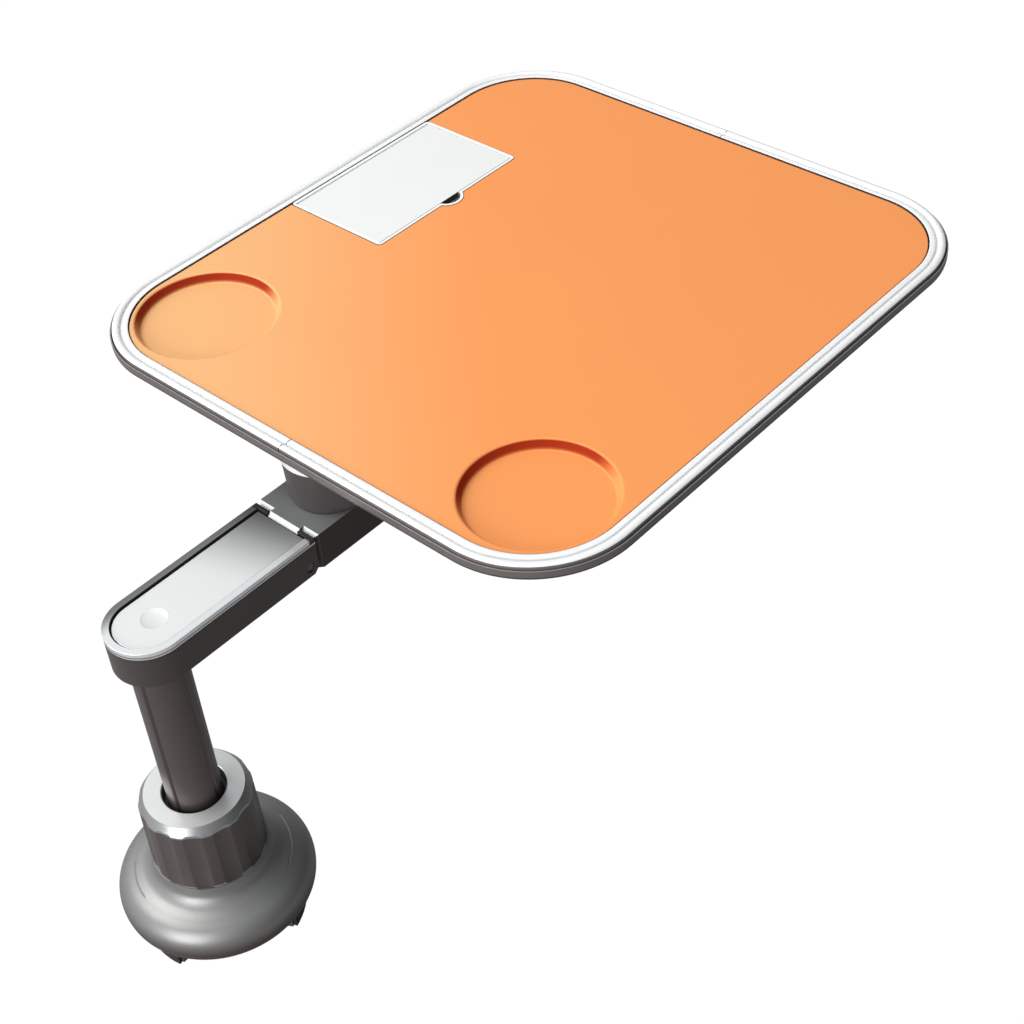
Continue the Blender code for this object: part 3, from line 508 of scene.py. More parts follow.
def makeBell():
    outer = smoothLine(bell["outline"], 9)
    inner = smoothLine(bell["inner"], 3)
    low = bell["top"] - bell["lipHeight"]
    piece = turnedPiece("bellCover", [(bell["hole"], bell["top"]), *outer, *inner, (bell["hole"], low)], 160)
    r, z, half, rise = bell["markRadius"], bell["markHeight"], bell["markHalf"], bell["markRise"]
    square = [(r - half, z - half), (r + half, z - half), (r + half, z + rise), (r - half, z + rise)]
    tools = [turnedPiece("markTool", square, 40, (0, 0), end, end - start) for start, end in bell["marks"]]
    cutAway(piece, *tools)
    smoothPiece(piece, 32)
    keepPiece(piece, "base", finishes["bellSilver"], ["bell_cover"])


# knob

knob = dict(
    foot=0.0273, head=0.0266, ring=0.0237, hole=0.0148, low=0.0637, height=0.0408, chamfer=0.0042,
    bore=0.0195, lip=0.0048, footEdge=0.0007, headEdge=(0.0001, 0.0002), ringEdge=(0.0002, 0.0003),
    holeEdge=0.0009, flutes=12, fluteTurn=15, fluteRadius=0.0194, fluteDepth=0.0009, fluteTaper=0.00005,
    # painted shade and light on one silver paint: the sides are dark, the chamfer lighter, the top ring
    # lightest
    side=dict(colour=(0.085, 0.072, 0.068)),
    chamferLight=dict(colour=(0.35, 0.36, 0.36), metal=0.75, rough=0.34), chamferFrom=0.0994, chamferTo=0.0998,
    topLight=dict(colour=(0.78, 0.79, 0.78), metal=0.6, rough=0.32), topFrom=0.1040, levelFrom=0.9,
    # painted highlights: bright lines at the foot of the flutes
    footHighlight=dict(colour=(0.85, 0.85, 0.84), metal=0.2), footTo=0.0646, waveFrom=0.05, waveTo=0.45)


def knobFootHighlight(graph, at):
    # painted highlights: short bright lines at the foot of the flutes
    turn = graph.add("ShaderNodeMath", {"operation": "ARCTAN2"}, at["y"], at["x"])
    wave = graph.add("ShaderNodeMath", {"operation": "COSINE"}, turn * knob["flutes"])
    upright = (at["z"] < knob["footTo"]) * (at["w"] < knob["levelFrom"])
    return mask(graph, wave, knob["waveFrom"], knob["waveTo"]) * upright


# lit and shaded copies of the knob's one paint: painted shade on the sides, painted light on the chamfer and
# top
finishes["knobLitAndShaded"] = layered(
    "knobLitAndShaded", {**darkSide, **knob["side"]},
    (knob["chamferLight"], lambda graph, at: mask(graph, at["z"], knob["chamferFrom"], knob["chamferTo"])),
    (knob["topLight"], lambda graph, at: (at["z"] > knob["topFrom"]) * (at["w"] > knob["levelFrom"])),
    (knob["footHighlight"], knobFootHighlight))


def makeKnob():
    foot, head, ring, hole, bore = (knob[key] for key in ("foot", "head", "ring", "hole", "bore"))
    low, top = knob["low"], knob["low"] + knob["height"]
    shoulder = top - knob["chamfer"]
    edge, (headIn, headUp), (ringOut, ringUp) = knob["holeEdge"], knob["headEdge"], knob["ringEdge"]
    outline = [(bore, low), (foot - knob["footEdge"], low), (foot, low + knob["footEdge"]),
               (head, shoulder - headUp), (head - headIn, shoulder + headUp),
               (ring + ringOut, top - ringUp), (ring - ringOut, top),
               *bend((hole + edge, top - edge), edge, 90, 180, 5),
               (hole, top - knob["lip"]), (bore, top - knob["lip"])]
    piece = turnedPiece("knobBody", outline, 180)
    reach = foot - knob["fluteDepth"] + knob["fluteRadius"]
    tools = []
    for number in range(knob["flutes"]):
        angle = math.radians(number * 360 / knob["flutes"] + knob["fluteTurn"])
        place = (reach * math.cos(angle), reach * math.sin(angle), (low + shoulder) / 2)
        clearSelection()
        bpy.ops.mesh.primitive_cone_add(
            vertices=160, radius1=knob["fluteRadius"] - knob["fluteTaper"],
            radius2=knob["fluteRadius"] + (foot - head), depth=shoulder - low + past, location=place)
        tool = nameNew("fluteTool")
        settle(tool)
        tools.append(tool)
    cutAway(piece, *tools)
    cleanMesh(piece)
    smoothPiece(piece, 24)
    keepPiece(piece, "knob", finishes["knobLitAndShaded"], ["knob"])


# column with its grooves

column = dict(radius=0.0129, inner=0.0105, edge=0.0004, grooves=(17, 107, 197, 287), grooveDepth=0.0011,
              tone=dict(colour=(0.115, 0.098, 0.094)))

finishes["columnBrushed"] = finishOf("columnBrushed", {**plainLook, **looks["columnGrey"], **column["tone"]})


def makeColumn():
    low, high = (corner[2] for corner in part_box("column_tube"))
    r, inner, edge = column["radius"], column["inner"], column["edge"]
    outline = [(inner, low), (r - edge, low), (r, low + edge), (r, high - edge), (r - edge, high),
               (inner, high)]
    piece = turnedPiece("columnBar", outline, 144)
    side = column["grooveDepth"] * math.sqrt(2)
    tools = []
    for turn in column["grooves"]:
        tool = box("grooveTool", (r - side / 2, -side / 2, low - past), (r + side / 2, side / 2, high + past))
        openMesh(tool)
        selectMesh()
        turnMesh(-45, "Z", (r, 0, 0))
        turnMesh(turn, "Z", origin)
        closeMesh()
        tools.append(tool)
    cutAway(piece, *tools)
    smoothPiece(piece, 30)
    keepPiece(piece, "column", finishes["columnBrushed"], ["column_tube"])


# arm: body with a socket for the column, bright bead and lid

arm = dict(
    half=0.01885, end=0.0794, low=0.1934, high=0.2130, hinge=(0.0746, 0, 0.1982), knuckle=0.0045,
    knuckleGap=0.0006, tongueHalf=0.0095, tongueGap=0.0003, pinHole=0.0023, toolHalf=0.03,
    earChamfer=0.0029, earTool=(0.003, 0.008, 0.010), bodyGap=0.0003, lineLow=0.0017, lineHigh=0.0012,
    lineDepth=0.0005, lineTool=0.003, edge=0.00035, socket=0.0133, socketDepth=0.0053,
    silverFrom=0.20935, silverTo=0.20940, steep=0.5, pinTone=dict(colour=(0.12, 0.11, 0.11)))
bead = dict(
    height=0.0021, width=0.0033, notch=0.0045, edge=0.00085, steep=0.6,
    tone=dict(colour=(0.85, 0.87, 0.87), rough=0.34),
    # painted shade: the bead is grey on its far side
    farSideShade=dict(colour=(0.20, 0.205, 0.205)), farSideShadeFrom=0.006, farSideShadeTo=0.0175,
    # painted shade: the bead's end by the hinge is dark
    endShade=dict(colour=(0.035, 0.03, 0.03), metal=0.2), endFrom=0.0755, endTo=0.0768,
    # painted shade: the bead's walls toward the lid are near black
    gapWallShade=dict(colour=(0.012, 0.01, 0.01), metal=0.0, rough=0.7))
lid = dict(
    gap=0.0008, inset=0.0028, thick=0.0011, edge=0.0003, dimple=0.004, dimpleRadius=0.0062,
    dish=[(0, 0.0005), (0.5, 0.00047), (0.8, 0.0003), (0.94, 0.0001), (1, 0)],  # shares of the radius, depths
    # painted shade: the lid darkens toward the hinge, and its side walls are near black
    tone=dict(colour=(0.74, 0.755, 0.74)), hingeShade=dict(colour=(0.10, 0.105, 0.10)), farSlope=0.35,
    farFrom=0.032, farTo=0.088, wallShade=dict(colour=(0.02, 0.02, 0.02), metal=0.0), steep=0.4,
    wallTo=0.2118)


def inwards(graph, at):
    # the bead's walls toward the lid, which take a painted shade
    return (at["x"] * at["u"] + at["y"] * at["v"] < 0) * (at["w"] < bead["steep"])


def armLine(graph, at):
    # the bright strip over the line in the arm's side
    return mask(graph, at["z"], arm["silverFrom"], arm["silverTo"]) * (at["w"] < arm["steep"])


def lidHingeShade(graph, at):
    # painted shade: the lid darkens toward the hinge
    return mask(graph, at["x"] + at["y"] * lid["farSlope"], lid["farFrom"], lid["farTo"])


finishes["armGraphite"] = layered("armGraphite", darkSide, (silver, armLine))
finishes["beadSilver"] = layered(
    "beadSilver", {**silver, **bead["tone"]},
    (bead["farSideShade"], lambda graph, at: mask(graph, at["y"], bead["farSideShadeFrom"], bead["farSideShadeTo"])),
    (bead["endShade"], lambda graph, at: mask(graph, at["x"], bead["endFrom"], bead["endTo"])),
    (bead["gapWallShade"], inwards))
finishes["lidSilver"] = layered(
    "lidSilver", {**looks["lightSilver"], **lid["tone"]}, (lid["hingeShade"], lidHingeShade),
    (lid["wallShade"], lambda graph, at: (at["w"] < lid["steep"]) * (at["z"] < lid["wallTo"])))
finishes["pinDark"] = finishOf("pinDark", {**plainLook, **darkSide, **arm["pinTone"]})
giveFinish(nodes["hinge_pin"], finishes["pinDark"])


def armPlate(name, inset, end, low, high, profile=()):
    half = arm["half"] - inset
    return roundedPlate(name, (-half, -half, low), (end, half, high), half * nearlyWhole, 40,
                        lambda x, y: x < 0, profile)


def notchTool(start):
    half = arm["tongueHalf"] + arm["tongueGap"]
    return box("notchTool", (start, -half, arm["low"] - past), (arm["end"] + past, half, arm["high"] + past))


def pinTool():
    x, y, z = arm["hinge"]
    return rod("pinTool", arm["pinHole"], (x, y - arm["toolHalf"], z), (x, y + arm["toolHalf"], z))


def earTool():
    # takes off the lower corner of the two ears
    before, beyond, deep = arm["earTool"]
    corner = arm["end"] - arm["earChamfer"]
    tool = box("earTool", (corner - before, -arm["toolHalf"], arm["low"] - deep),
               (arm["end"] + beyond, arm["toolHalf"], arm["low"]))
    openMesh(tool)
    selectMesh()
    turnMesh(-45, "Y", (corner, 0, arm["low"]))
    closeMesh()
    return tool


def makeArm():
    low, end, top = arm["low"], arm["end"], arm["high"] - bead["height"]
    piece = armPlate("armBody", 0, end, low, top - arm["bodyGap"])
    ear = earTool()
    line = armPlate("lineOuter", -past, end + past, top - arm["lineLow"], top - arm["lineHigh"])
    cutAway(line, armPlate("lineInner", arm["lineDepth"], end - arm["lineDepth"], top - arm["lineTool"], top))
    notch = notchTool(arm["hinge"][0] - arm["knuckle"] - arm["knuckleGap"])
    socket = rod("socketTool", arm["socket"], (0, 0, low - past / 2), (0, 0, low + arm["socketDepth"]), 96)
    cutAway(piece, notch, ear, line, socket, pinTool())
    bevelEdges(piece, arm["edge"], 2, 40)
    smoothPiece(piece, 30)
    keepPiece(piece, "arm", finishes["armGraphite"], ["arm_body"])


def makeBead():
    low = arm["high"] - bead["height"]
    piece = armPlate("armBead", 0, arm["end"], low, arm["high"])
    opening = armPlate("openingTool", bead["width"], arm["end"] - lid["inset"] + lid["gap"],
                       low - past, arm["high"] + past)
    cutAway(piece, opening, notchTool(arm["end"] - bead["notch"]))
    bevelEdges(piece, bead["edge"], 5, 50)
    smoothPiece(piece, 30)
    keepPiece(piece, "arm", finishes["beadSilver"], ["arm_bezel"])


def makeLid():
    low = arm["high"] - bead["height"]
    top, r = low + lid["thick"], lid["dimpleRadius"]
    piece = armPlate("armLid", bead["width"] + lid["gap"], arm["end"] - lid["inset"], low,
                     low + lid["thick"] - lid["edge"], rollSteps(lid["edge"], 3))
    dish = [(r * share, top - depth) for share, depth in lid["dish"]]
    dimple = turnedPiece("dimpleTool", [*dish, (r, top + past), (0, top + past)], 96, (lid["dimple"], 0))
    cutAway(piece, dimple)
    smoothPiece(piece, 30)
    keepPiece(piece, "arm", finishes["lidSilver"], ["arm_lid"])


# swivel block with its tongue

block = dict(
    front=0.0800, tail=0.006, reach=0.10785, bevel=0.0020, nose=0.0775, root=0.0040, webRise=0.001,
    boltHole=0.0064, nutHole=0.0113, nutDepth=0.0072, edge=0.00025, floorSkip=1e-4,
    # painted shade and light on one material: the sides are dark, the faces that look up lighter
    side=dict(colour=(0.040, 0.030, 0.028)), levelFrom=0.9,
    top=dict(colour=(0.185, 0.195, 0.193), metal=0.3, rough=0.46, mottle=0.10),
    # painted highlight on the slanted edge toward the arm
    bevelHighlight=dict(colour=(0.80, 0.82, 0.82), metal=0.5, rough=0.25, mottle=0.03),
    bevelFront=-0.35, bevelSteep=0.35, bevelLevel=0.95)


def blockBevelHighlight(graph, at):
    # painted highlight: the slanted edge toward the arm is bright
    return (at["u"] < block["bevelFront"]) * (at["w"] > block["bevelSteep"]) * (at["w"] < block["bevelLevel"])


# lit and shaded copies of the block's one material
finishes["blockLitAndShaded"] = layered(
    "blockLitAndShaded", {**darkSide, **block["side"]},
    (block["top"], lambda graph, at: at["w"] > block["levelFrom"]), (block["bevelHighlight"], blockBevelHighlight))


def makeBlock():
    half, low, high = arm["half"], arm["low"], arm["high"]
    front, nose, reach = block["front"], block["nose"], block["reach"]
    far, root = reach + block["tail"], front + block["root"]
    piece = roundedPlate("blockBody", (front, -half, low), (far + half, half, high), half * nearlyWhole, 40,
                         lambda x, y: x > far)
    openMesh(piece, "EDGE")
    pick("EDGE", lambda at, way: abs(at.x - front) < pickReach and at.z > low + block["floorSkip"])
    bevelPicked(block["bevel"], 1)
    closeMesh()
    (x, y, z), side = arm["hinge"], arm["tongueHalf"]
    tongue = box("tongue", (nose, -side, z), (root, side, high))
    openMesh(tongue, "EDGE")
    pick("EDGE", lambda at, way: abs(at.x - nose) < pickReach and at.z > high - block["floorSkip"])
    bevelPicked(block["bevel"], 1)
    closeMesh()
    web = box("web", (x, -side, z - arm["knuckle"]), (root, side, z + block["webRise"]))
    knuckle = rod("knuckle", arm["knuckle"], (x, y - side, z), (x, y + side, z), 64)
    cutAway(piece, tongue, web, knuckle, operation="UNION")
    bolt = rod("boltTool", block["boltHole"], (reach, 0, low - past), (reach, 0, high + past))
    nut = rod("nutTool", block["nutHole"], (reach, 0, low - past), (reach, 0, low + block["nutDepth"]), 96)
    cutAway(piece, bolt, nut, pinTool())
    bevelEdges(piece, block["edge"], 2, 30)
    smoothPiece(piece, 28)
    keepPiece(piece, "fold", finishes["blockLitAndShaded"], ["swivel_block"])


# drum under the tray, and the ring round its top

drum = dict(
    low=0.0192, high=0.0200, neck=0.0170, bolt=0.0064, head=0.0093, headDepth=0.0045, edge=0.0003,
    footEdge=0.0006, straight=0.006, flare=(0.0003, 0.014), tone=dict(colour=(0.082, 0.077, 0.075)))
drumRing = dict(foot=0.0204, top=0.0189, footEdge=0.0002, tone=dict(colour=(0.9, 0.91, 0.91)))

finishes["drumGraphite"] = finishOf("drumGraphite", {**plainLook, **darkSide, **drum["tone"]})
finishes["ringSilver"] = finishOf("ringSilver", {**plainLook, **silver, **drumRing["tone"]})


def makeDrum():
    (west, *_, low), (east, *_, high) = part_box("swivel_drum")
    centre = ((west + east) / 2, 0)
    ringLow, ringHigh = (corner[2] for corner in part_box("drum_collar"))
    foot, head, edge, soft = drum["low"], drum["high"], drum["edge"], drum["footEdge"]
    flareOut, flareUp = drum["flare"]
    side = smoothLine([(foot, low + soft), (foot, low + drum["straight"]), (foot + flareOut, low + flareUp),
                       (head, ringLow - soft)], 5)
    outline = [(drum["bolt"], low), (foot - soft, low), *side, (head - edge, ringLow - edge),
               (drum["neck"], ringLow - edge), (drum["neck"], high), (drum["head"], high),
               (drum["head"], high - drum["headDepth"]), (drum["bolt"], high - drum["headDepth"])]
    piece = turnedPiece("drumBody", outline, 144, centre)
    smoothPiece(piece, 30)
    keepPiece(piece, "swivel", finishes["drumGraphite"], ["swivel_drum"])
    inner, outer, soft = drum["neck"] + edge, drumRing["foot"], drumRing["footEdge"]
    outline = [(inner, ringLow), (outer - soft, ringLow), (outer, ringLow + soft), (outer, ringLow + edge),
               (drumRing["top"], ringHigh), (inner, ringHigh)]
    piece = turnedPiece("drumRing", outline, 144, centre)
    smoothPiece(piece, 30)
    keepPiece(piece, "swivel", finishes["ringSilver"], ["drum_collar"])


# tray: shell and rim

tray = dict(
    halfX=0.154, halfY=0.14175, corner=0.0423, cornerSteps=28, front=0.0938, rimWidth=0.0094,
    rimHeight=0.0035, rimLap=0.0005, seam=0.003, seamGap=0.0004,
    toolLow=0.2, toolHigh=0.3, toolSpan=(-0.1, 0.6), toolHalf=0.4)  # tools that are taller and wider than it
trayMiddle = tray["front"] + tray["halfX"]
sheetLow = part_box("rim_left")[0][2]
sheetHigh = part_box("mat")[1][2]


def outwards(at):
    # above 0 where a face looks away from the middle of the tray
    return (at["x"] - trayMiddle) * at["u"] + at["y"] * at["v"]


def trayPlate(name, grow, low, high, profile=()):
    west, east = trayMiddle - tray["halfX"] - grow, trayMiddle + tray["halfX"] + grow
    half = tray["halfY"] + grow
    return roundedPlate(name, (west, -half, low), (east, half, high), tray["corner"] + grow,
                        tray["cornerSteps"], None, profile)


def upended(piece):
    # pans are made upside down, then mirrored to their place
    openMesh(piece)
    selectMesh()
    bpy.ops.transform.mirror(constraint_axis=(False, False, True), center_override=origin)
    bpy.ops.mesh.normals_make_consistent(inside=False)
    closeMesh()
    return piece


shell = dict(
    panTop=0.2434, bandLow=0.2437, edgeHeight=0.0053, wall=0.0020, inset=0.0002, lip=0.0007, screwGap=0.0003,
    bandEdge=0.0002, edge=[(0, 0), (0.0022, 0.0016), (0.0051, 0.0033), (0.0102, 0.0053)],
    pan=dict(colour=(0.10, 0.080, 0.075)), band=dict(colour=(0.16, 0.14, 0.135)),
    # painted light: the band's faces that look up are lighter
    bandLitTop=dict(colour=(0.28, 0.27, 0.27)), levelFrom=0.9)

finishes["shellGraphite"] = finishOf("shellGraphite", {**plainLook, **darkSide, **shell["pan"]})
finishes["bandGraphite"] = layered(
    "bandGraphite", {**darkSide, **shell["band"]},
    (shell["bandLitTop"], lambda graph, at: at["w"] > shell["levelFrom"]))


def screwTools(bottom):
    # the holes that the four screws sit in
    tools = []
    for number in range(1, 5):
        (west, south, _), (east, north, _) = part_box(f"tray_screw_{number}")
        x, y, radius = (west + east) / 2, (south + north) / 2, (east - west) / 2 + shell["screwGap"]
        start, end = bottom - shell["wall"], bottom + 2 * shell["wall"]
        tools.append(rod("screwTool", radius, (x, y, start), (x, y, end)))
    return tools


def makeShell():
    bottom, top = (corner[2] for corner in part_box("tray_shell"))
    steps = stepsOf(smoothLine(shell["edge"], 5))
    grow, wall = tray["rimWidth"] - shell["inset"], shell["wall"]
    edgeLow = bottom + shell["edgeHeight"]
    pan = upended(trayPlate("trayPan", grow, -shell["panTop"], -edgeLow, steps))
    hollow = upended(trayPlate("panHollow", grow - wall, -shell["panTop"] - wall, -edgeLow - wall, steps))
    cutAway(pan, hollow)
    cutAway(pan, *screwTools(bottom))
    cleanMesh(pan)
    smoothPiece(pan, 34)
    keepPiece(pan, "swivel", finishes["shellGraphite"], ["tray_shell"])
    band = trayPlate("trayBand", tray["rimWidth"], shell["bandLow"], top)
    cutAway(band, trayPlate("bandTool", tray["rimWidth"] - shell["lip"], tray["toolLow"], tray["toolHigh"]))
    bevelEdges(band, shell["bandEdge"], 2, 50)
    smoothPiece(band, 30)
    keepPiece(band, "swivel", finishes["bandGraphite"])


rim = dict(
    # the section: shares of the rim's width out from the mat, and of its height
    shares=[(0.88, 0.58), (0.865, 0.74), (0.83, 0.86), (0.76, 0.955), (0.67, 1.00), (0.58, 0.965),
            (0.51, 0.88), (0.46, 0.74), (0.42, 0.66), (0.385, 0.70), (0.34, 0.80), (0.25, 0.835),
            (0.15, 0.83), (0.07, 0.80), (0.03, 0.70)],
    tone=dict(colour=(0.90, 0.91, 0.91), metal=0.1),
    # painted shade: grey in the rim's groove
    groove=dict(colour=(0.66, 0.67, 0.68)), grooveFrom=0.0029, grooveTo=0.0024, steep=0.5,
    # painted shade: the rim's outer walls are dark
    outside=dict(colour=(0.16, 0.145, 0.14)), outsideFrom=0.66, outsideTo=0.52,
    # painted shade: the rim's walls toward the mat are dark
    inside=dict(colour=(0.10, 0.08, 0.08)), insideFrom=0.45)


def rimGrooveShade(graph, at):
    # painted shade in the rim's groove
    low = mask(graph, at["z"], sheetLow + rim["grooveFrom"], sheetLow + rim["grooveTo"])
    return low * (at["w"] > rim["steep"])


def rimOutsideShade(graph, at):
    # painted shade on the rim's outer walls
    return (outwards(at) > 0) * mask(graph, at["w"], rim["outsideFrom"], rim["outsideTo"])


def rimInsideShade(graph, at):
    # painted shade on the rim's walls toward the mat
    return (outwards(at) < 0) * (at["w"] < rim["insideFrom"])


finishes["rimSilver"] = layered(
    "rimSilver", {**looks["brightRim"], **rim["tone"]}, (rim["groove"], rimGrooveShade),
    (rim["outside"], rimOutsideShade), (rim["inside"], rimInsideShade))


def makeRims():
    widest = rim["shares"][0][0]
    line = smoothLine([((widest - out) * tray["rimWidth"], up * tray["rimHeight"])
                       for out, up in rim["shares"]], 3)
    (west, east), low, high = tray["toolSpan"], tray["toolLow"], tray["toolHigh"]
    for side, name, node in ((1, "rimLeft", "rim_left"), (-1, "rimRight", "rim_right")):
        piece = trayPlate(name, widest * tray["rimWidth"], sheetLow, sheetLow + line[0][1], stepsOf(line))
        hole = trayPlate("rimTool", tray["rimLap"], sheetLow - past, sheetLow + 10 * past)
        seam, far = tray["seam"] + side * tray["seamGap"] / 2, -side * tray["toolHalf"]
        half = box("halfTool", (west, min(seam, far), low), (east, max(seam, far), high))
        cutAway(piece, hole, half)
        cleanMesh(piece)
        smoothPiece(piece, 38)
        keepPiece(piece, "swivel", finishes["rimSilver"], [node])


# the frame's outline, which the mat is cut to as well

flapFrame = dict(
    length=0.1014, width=0.0638, wall=0.0015, corner=0.0022, frontBelow=0.1, backReach=0.003, floor=0.0010,
    edge=0.0003, notchRadius=0.0085, notchRise=0.0050, notchShare=0.017, notchWall=0.0015, notchDepth=0.0032,
    # painted shade: the frame's outer walls, top edges and finger notch are dark
    tone=dict(colour=(0.90, 0.91, 0.90)), gapShade=dict(colour=(0.08, 0.045, 0.03)),
    # the painted shade keeps off the bin, within the inner half length and behind the inner front
    innerHalf=0.0497, innerFront=0.0791, topHalf=0.0500, topFront=0.0786, level=0.97, topTo=0.32,
    lowTo=0.24765, steep=0.35, full=0.5)
frameLow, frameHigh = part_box("flap_frame")
frameMiddle = (frameLow[0] + frameHigh[0]) / 2
frameFront = tray["halfY"] - flapFrame["width"]


def notchRod(name, radius, low, high):
    # a round bar upright in the finger notch
    x = frameMiddle + flapFrame["notchShare"] * flapFrame["length"]
    y = frameFront + flapFrame["notchRadius"] - flapFrame["notchRise"]
    return rod(name, radius, (x, y, low), (x, y, high), 96)


def framePlate(name, grow, low, high):
    # the frame's outline with the finger notch's bulge
    half = flapFrame["length"] / 2 + grow
    back = tray["halfY"] + (grow if grow <= 0 else flapFrame["backReach"])
    piece = roundedPlate(name, (frameMiddle - half, frameFront - grow, low), (frameMiddle + half, back, high),
                         flapFrame["corner"] + grow, 8, lambda x, y: y < flapFrame["frontBelow"])
    cutAway(piece, notchRod("bulge", flapFrame["notchRadius"] + grow, low, high), operation="UNION")
    return piece


# mat with its two wells

mat = dict(
    edge=0.0006, frameGap=0.0003, tone=dict(colour=(0.83, 0.44, 0.185), shine=0.25),
    # painted shade: the mat's tone deepens from left to right
    slopeShade=dict(colour=(0.88, 0.315, 0.094)), slope=(0.705, 0.709), slopeFrom=0.0, slopeTo=0.165,
    # painted shade: the mat's upright edges are dark red
    edgeShade=dict(colour=(0.22, 0.03, 0.01)), steep=0.4)
well = dict(
    x=0.1331, y=0.10425, outer=0.0357, wall=0.0340, floor=0.0327, floorRound=0.0010, depth=0.0046,
    skin=0.0015, lap=0.001,
    clearSquare=0.00131,  # the square of the radius that the edge's tone stays clear of
    shade=dict(colour=(0.33, 0.024, 0.002), rough=0.9), shadeFrom=0.2430, shadeTo=0.2450, shadeLeast=0.3,
    level=0.93, steep=0.55, away=(0.503, 0.864), awayFrom=-0.15, awayTo=0.4)


def wellWall(graph, at):
    # the walls of the two wells that look away from the light
    least = well["shadeLeast"]
    deep = mask(graph, at["z"], well["shadeFrom"], well["shadeTo"]) * (1 - least) + least
    turned = at["v"] * -well["away"][1] - at["u"] * well["away"][0]
    wall = deep * mask(graph, at["w"], well["level"], well["steep"])
    return wall * mask(graph, turned, well["awayFrom"], well["awayTo"])


def sheetEdgeShade(graph, at):
    # painted shade: upright edges of the mat, outside the wells, turn dark red
    across, along = at["x"] - well["x"], abs(at["y"]) - well["y"]
    return (at["w"] < mat["steep"]) * (across * across + along * along > well["clearSquare"])


def sheetSlopeShade(graph, at):
    # painted shade: the mat's tone deepens from the left to the right
    along = at["x"] * mat["slope"][0] - at["y"] * mat["slope"][1]
    return mask(graph, along, mat["slopeFrom"], mat["slopeTo"])


finishes["matSilicone"] = layered(
    "matSilicone", {**looks["silicone"], **mat["tone"]}, (mat["slopeShade"], sheetSlopeShade),
    (well["shade"], wellWall), (mat["edgeShade"], sheetEdgeShade))


def makeMat():
    piece = trayPlate("matSheet", 0, sheetLow, sheetHigh - mat["edge"], rollSteps(mat["edge"], 4))
    floor, soft, roll = sheetHigh - well["depth"], well["floorRound"], well["outer"] - well["wall"]
    for side in (1, -1):
        centre = (well["x"], side * well["y"])
        cup = rod("cup", well["wall"] + well["skin"], (*centre, floor - well["skin"]),
                  (*centre, sheetLow + well["lap"]), 128)
        cutAway(piece, cup, operation="UNION")
        dish = [(0, floor), *bend((well["floor"] - soft, floor + soft), soft, -90, -10, 6),
                *bend((well["outer"], sheetHigh - roll), roll, 180, 90, 8),
                (well["outer"], sheetHigh + past), (0, sheetHigh + past)]
        cutAway(piece, turnedPiece("dishTool", dish, 128, centre))
    cutAway(piece, framePlate("frameTool", mat["frameGap"], sheetLow - past, sheetHigh + past))
    cleanMesh(piece)
    smoothPiece(piece, 40)
    keepPiece(piece, "swivel", finishes["matSilicone"], ["mat"])


# flap and its frame

flap = dict(
    backRound=0.49, edge=0.00035, tone=dict(colour=(0.86, 0.875, 0.85), metal=0.15),
    # painted shade: the flap's side walls are grey and a dark line runs along its front
    wallShade=dict(colour=(0.50, 0.50, 0.50)), steep=0.3,
    frontShade=dict(colour=(0.06, 0.06, 0.06)), level=0.97, frontFrom=-0.15)


def frameEdgeShade(graph, at):
    # painted shade on the frame's outer walls and its finger notch
    off = abs(at["x"] - frameMiddle)
    inside = (off < flapFrame["innerHalf"]) * (at["y"] > flapFrame["innerFront"])
    within = (off < flapFrame["topHalf"]) * (at["y"] > flapFrame["topFront"])
    topEdge = (1 - within) * (at["w"] < flapFrame["level"]) * (at["x"] < flapFrame["topTo"])
    walls = (at["z"] < flapFrame["lowTo"]) + (at["w"] < flapFrame["steep"]) + topEdge
    return (1 - inside) * mask(graph, walls, 0, flapFrame["full"])


finishes["frameWhite"] = layered(
    "frameWhite", {**looks["whitePlastic"], **flapFrame["tone"]}, (flapFrame["gapShade"], frameEdgeShade))
finishes["flapSilver"] = layered(
    "flapSilver", {**looks["lightSilver"], **flap["tone"]},
    (flap["wallShade"], lambda graph, at: at["w"] < flap["steep"]),
    (flap["frontShade"], lambda graph, at: (at["w"] < flap["level"]) * (at["v"] < flap["frontFrom"])))


def makeFlap():
    low, high = frameLow[2], frameHigh[2]
    piece = framePlate("flapFrame", 0, low, high)
    wall = flapFrame["wall"]
    half = flapFrame["length"] / 2 - wall
    hollow = box("binTool", (frameMiddle - half, frameFront + wall, low + flapFrame["floor"]),
                 (frameMiddle + half, tray["halfY"] - wall, high + past))
    dip = notchRod("dipTool", flapFrame["notchRadius"] - flapFrame["notchWall"],
                   high - flapFrame["notchDepth"], high + past)
    cutAway(piece, hollow, dip)
    bevelEdges(piece, flapFrame["edge"], 3, 40)
    smoothPiece(piece, 30)
    keepPiece(piece, "swivel", finishes["frameWhite"], ["flap_frame"])
    low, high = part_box("flap")
    panel = box("flapPanel", low, high)
    openMesh(panel, "EDGE")
    pick("EDGE", lambda at, way: abs(at.y - high[1]) < pickReach and abs(way.x) > 0.9)
    bevelPicked((high[2] - low[2]) * flap["backRound"], 8)
    closeMesh()
    bevelEdges(panel, flap["edge"], 3, 50)
    smoothPiece(panel, 30)
    keepPiece(panel, "flap", finishes["flapSilver"], ["flap"])


print("finishes made:", len(finishes))
makers = dict(bell=makeBell, knob=makeKnob, column=makeColumn, arm=makeArm, bead=makeBead, lid=makeLid,
              block=makeBlock, drum=makeDrum, shell=makeShell, rims=makeRims, mat=makeMat, flap=makeFlap)
for stageName, make in makers.items():
    make()
    print("made:", stageName)


# stage: floor, sky, lamps, camera

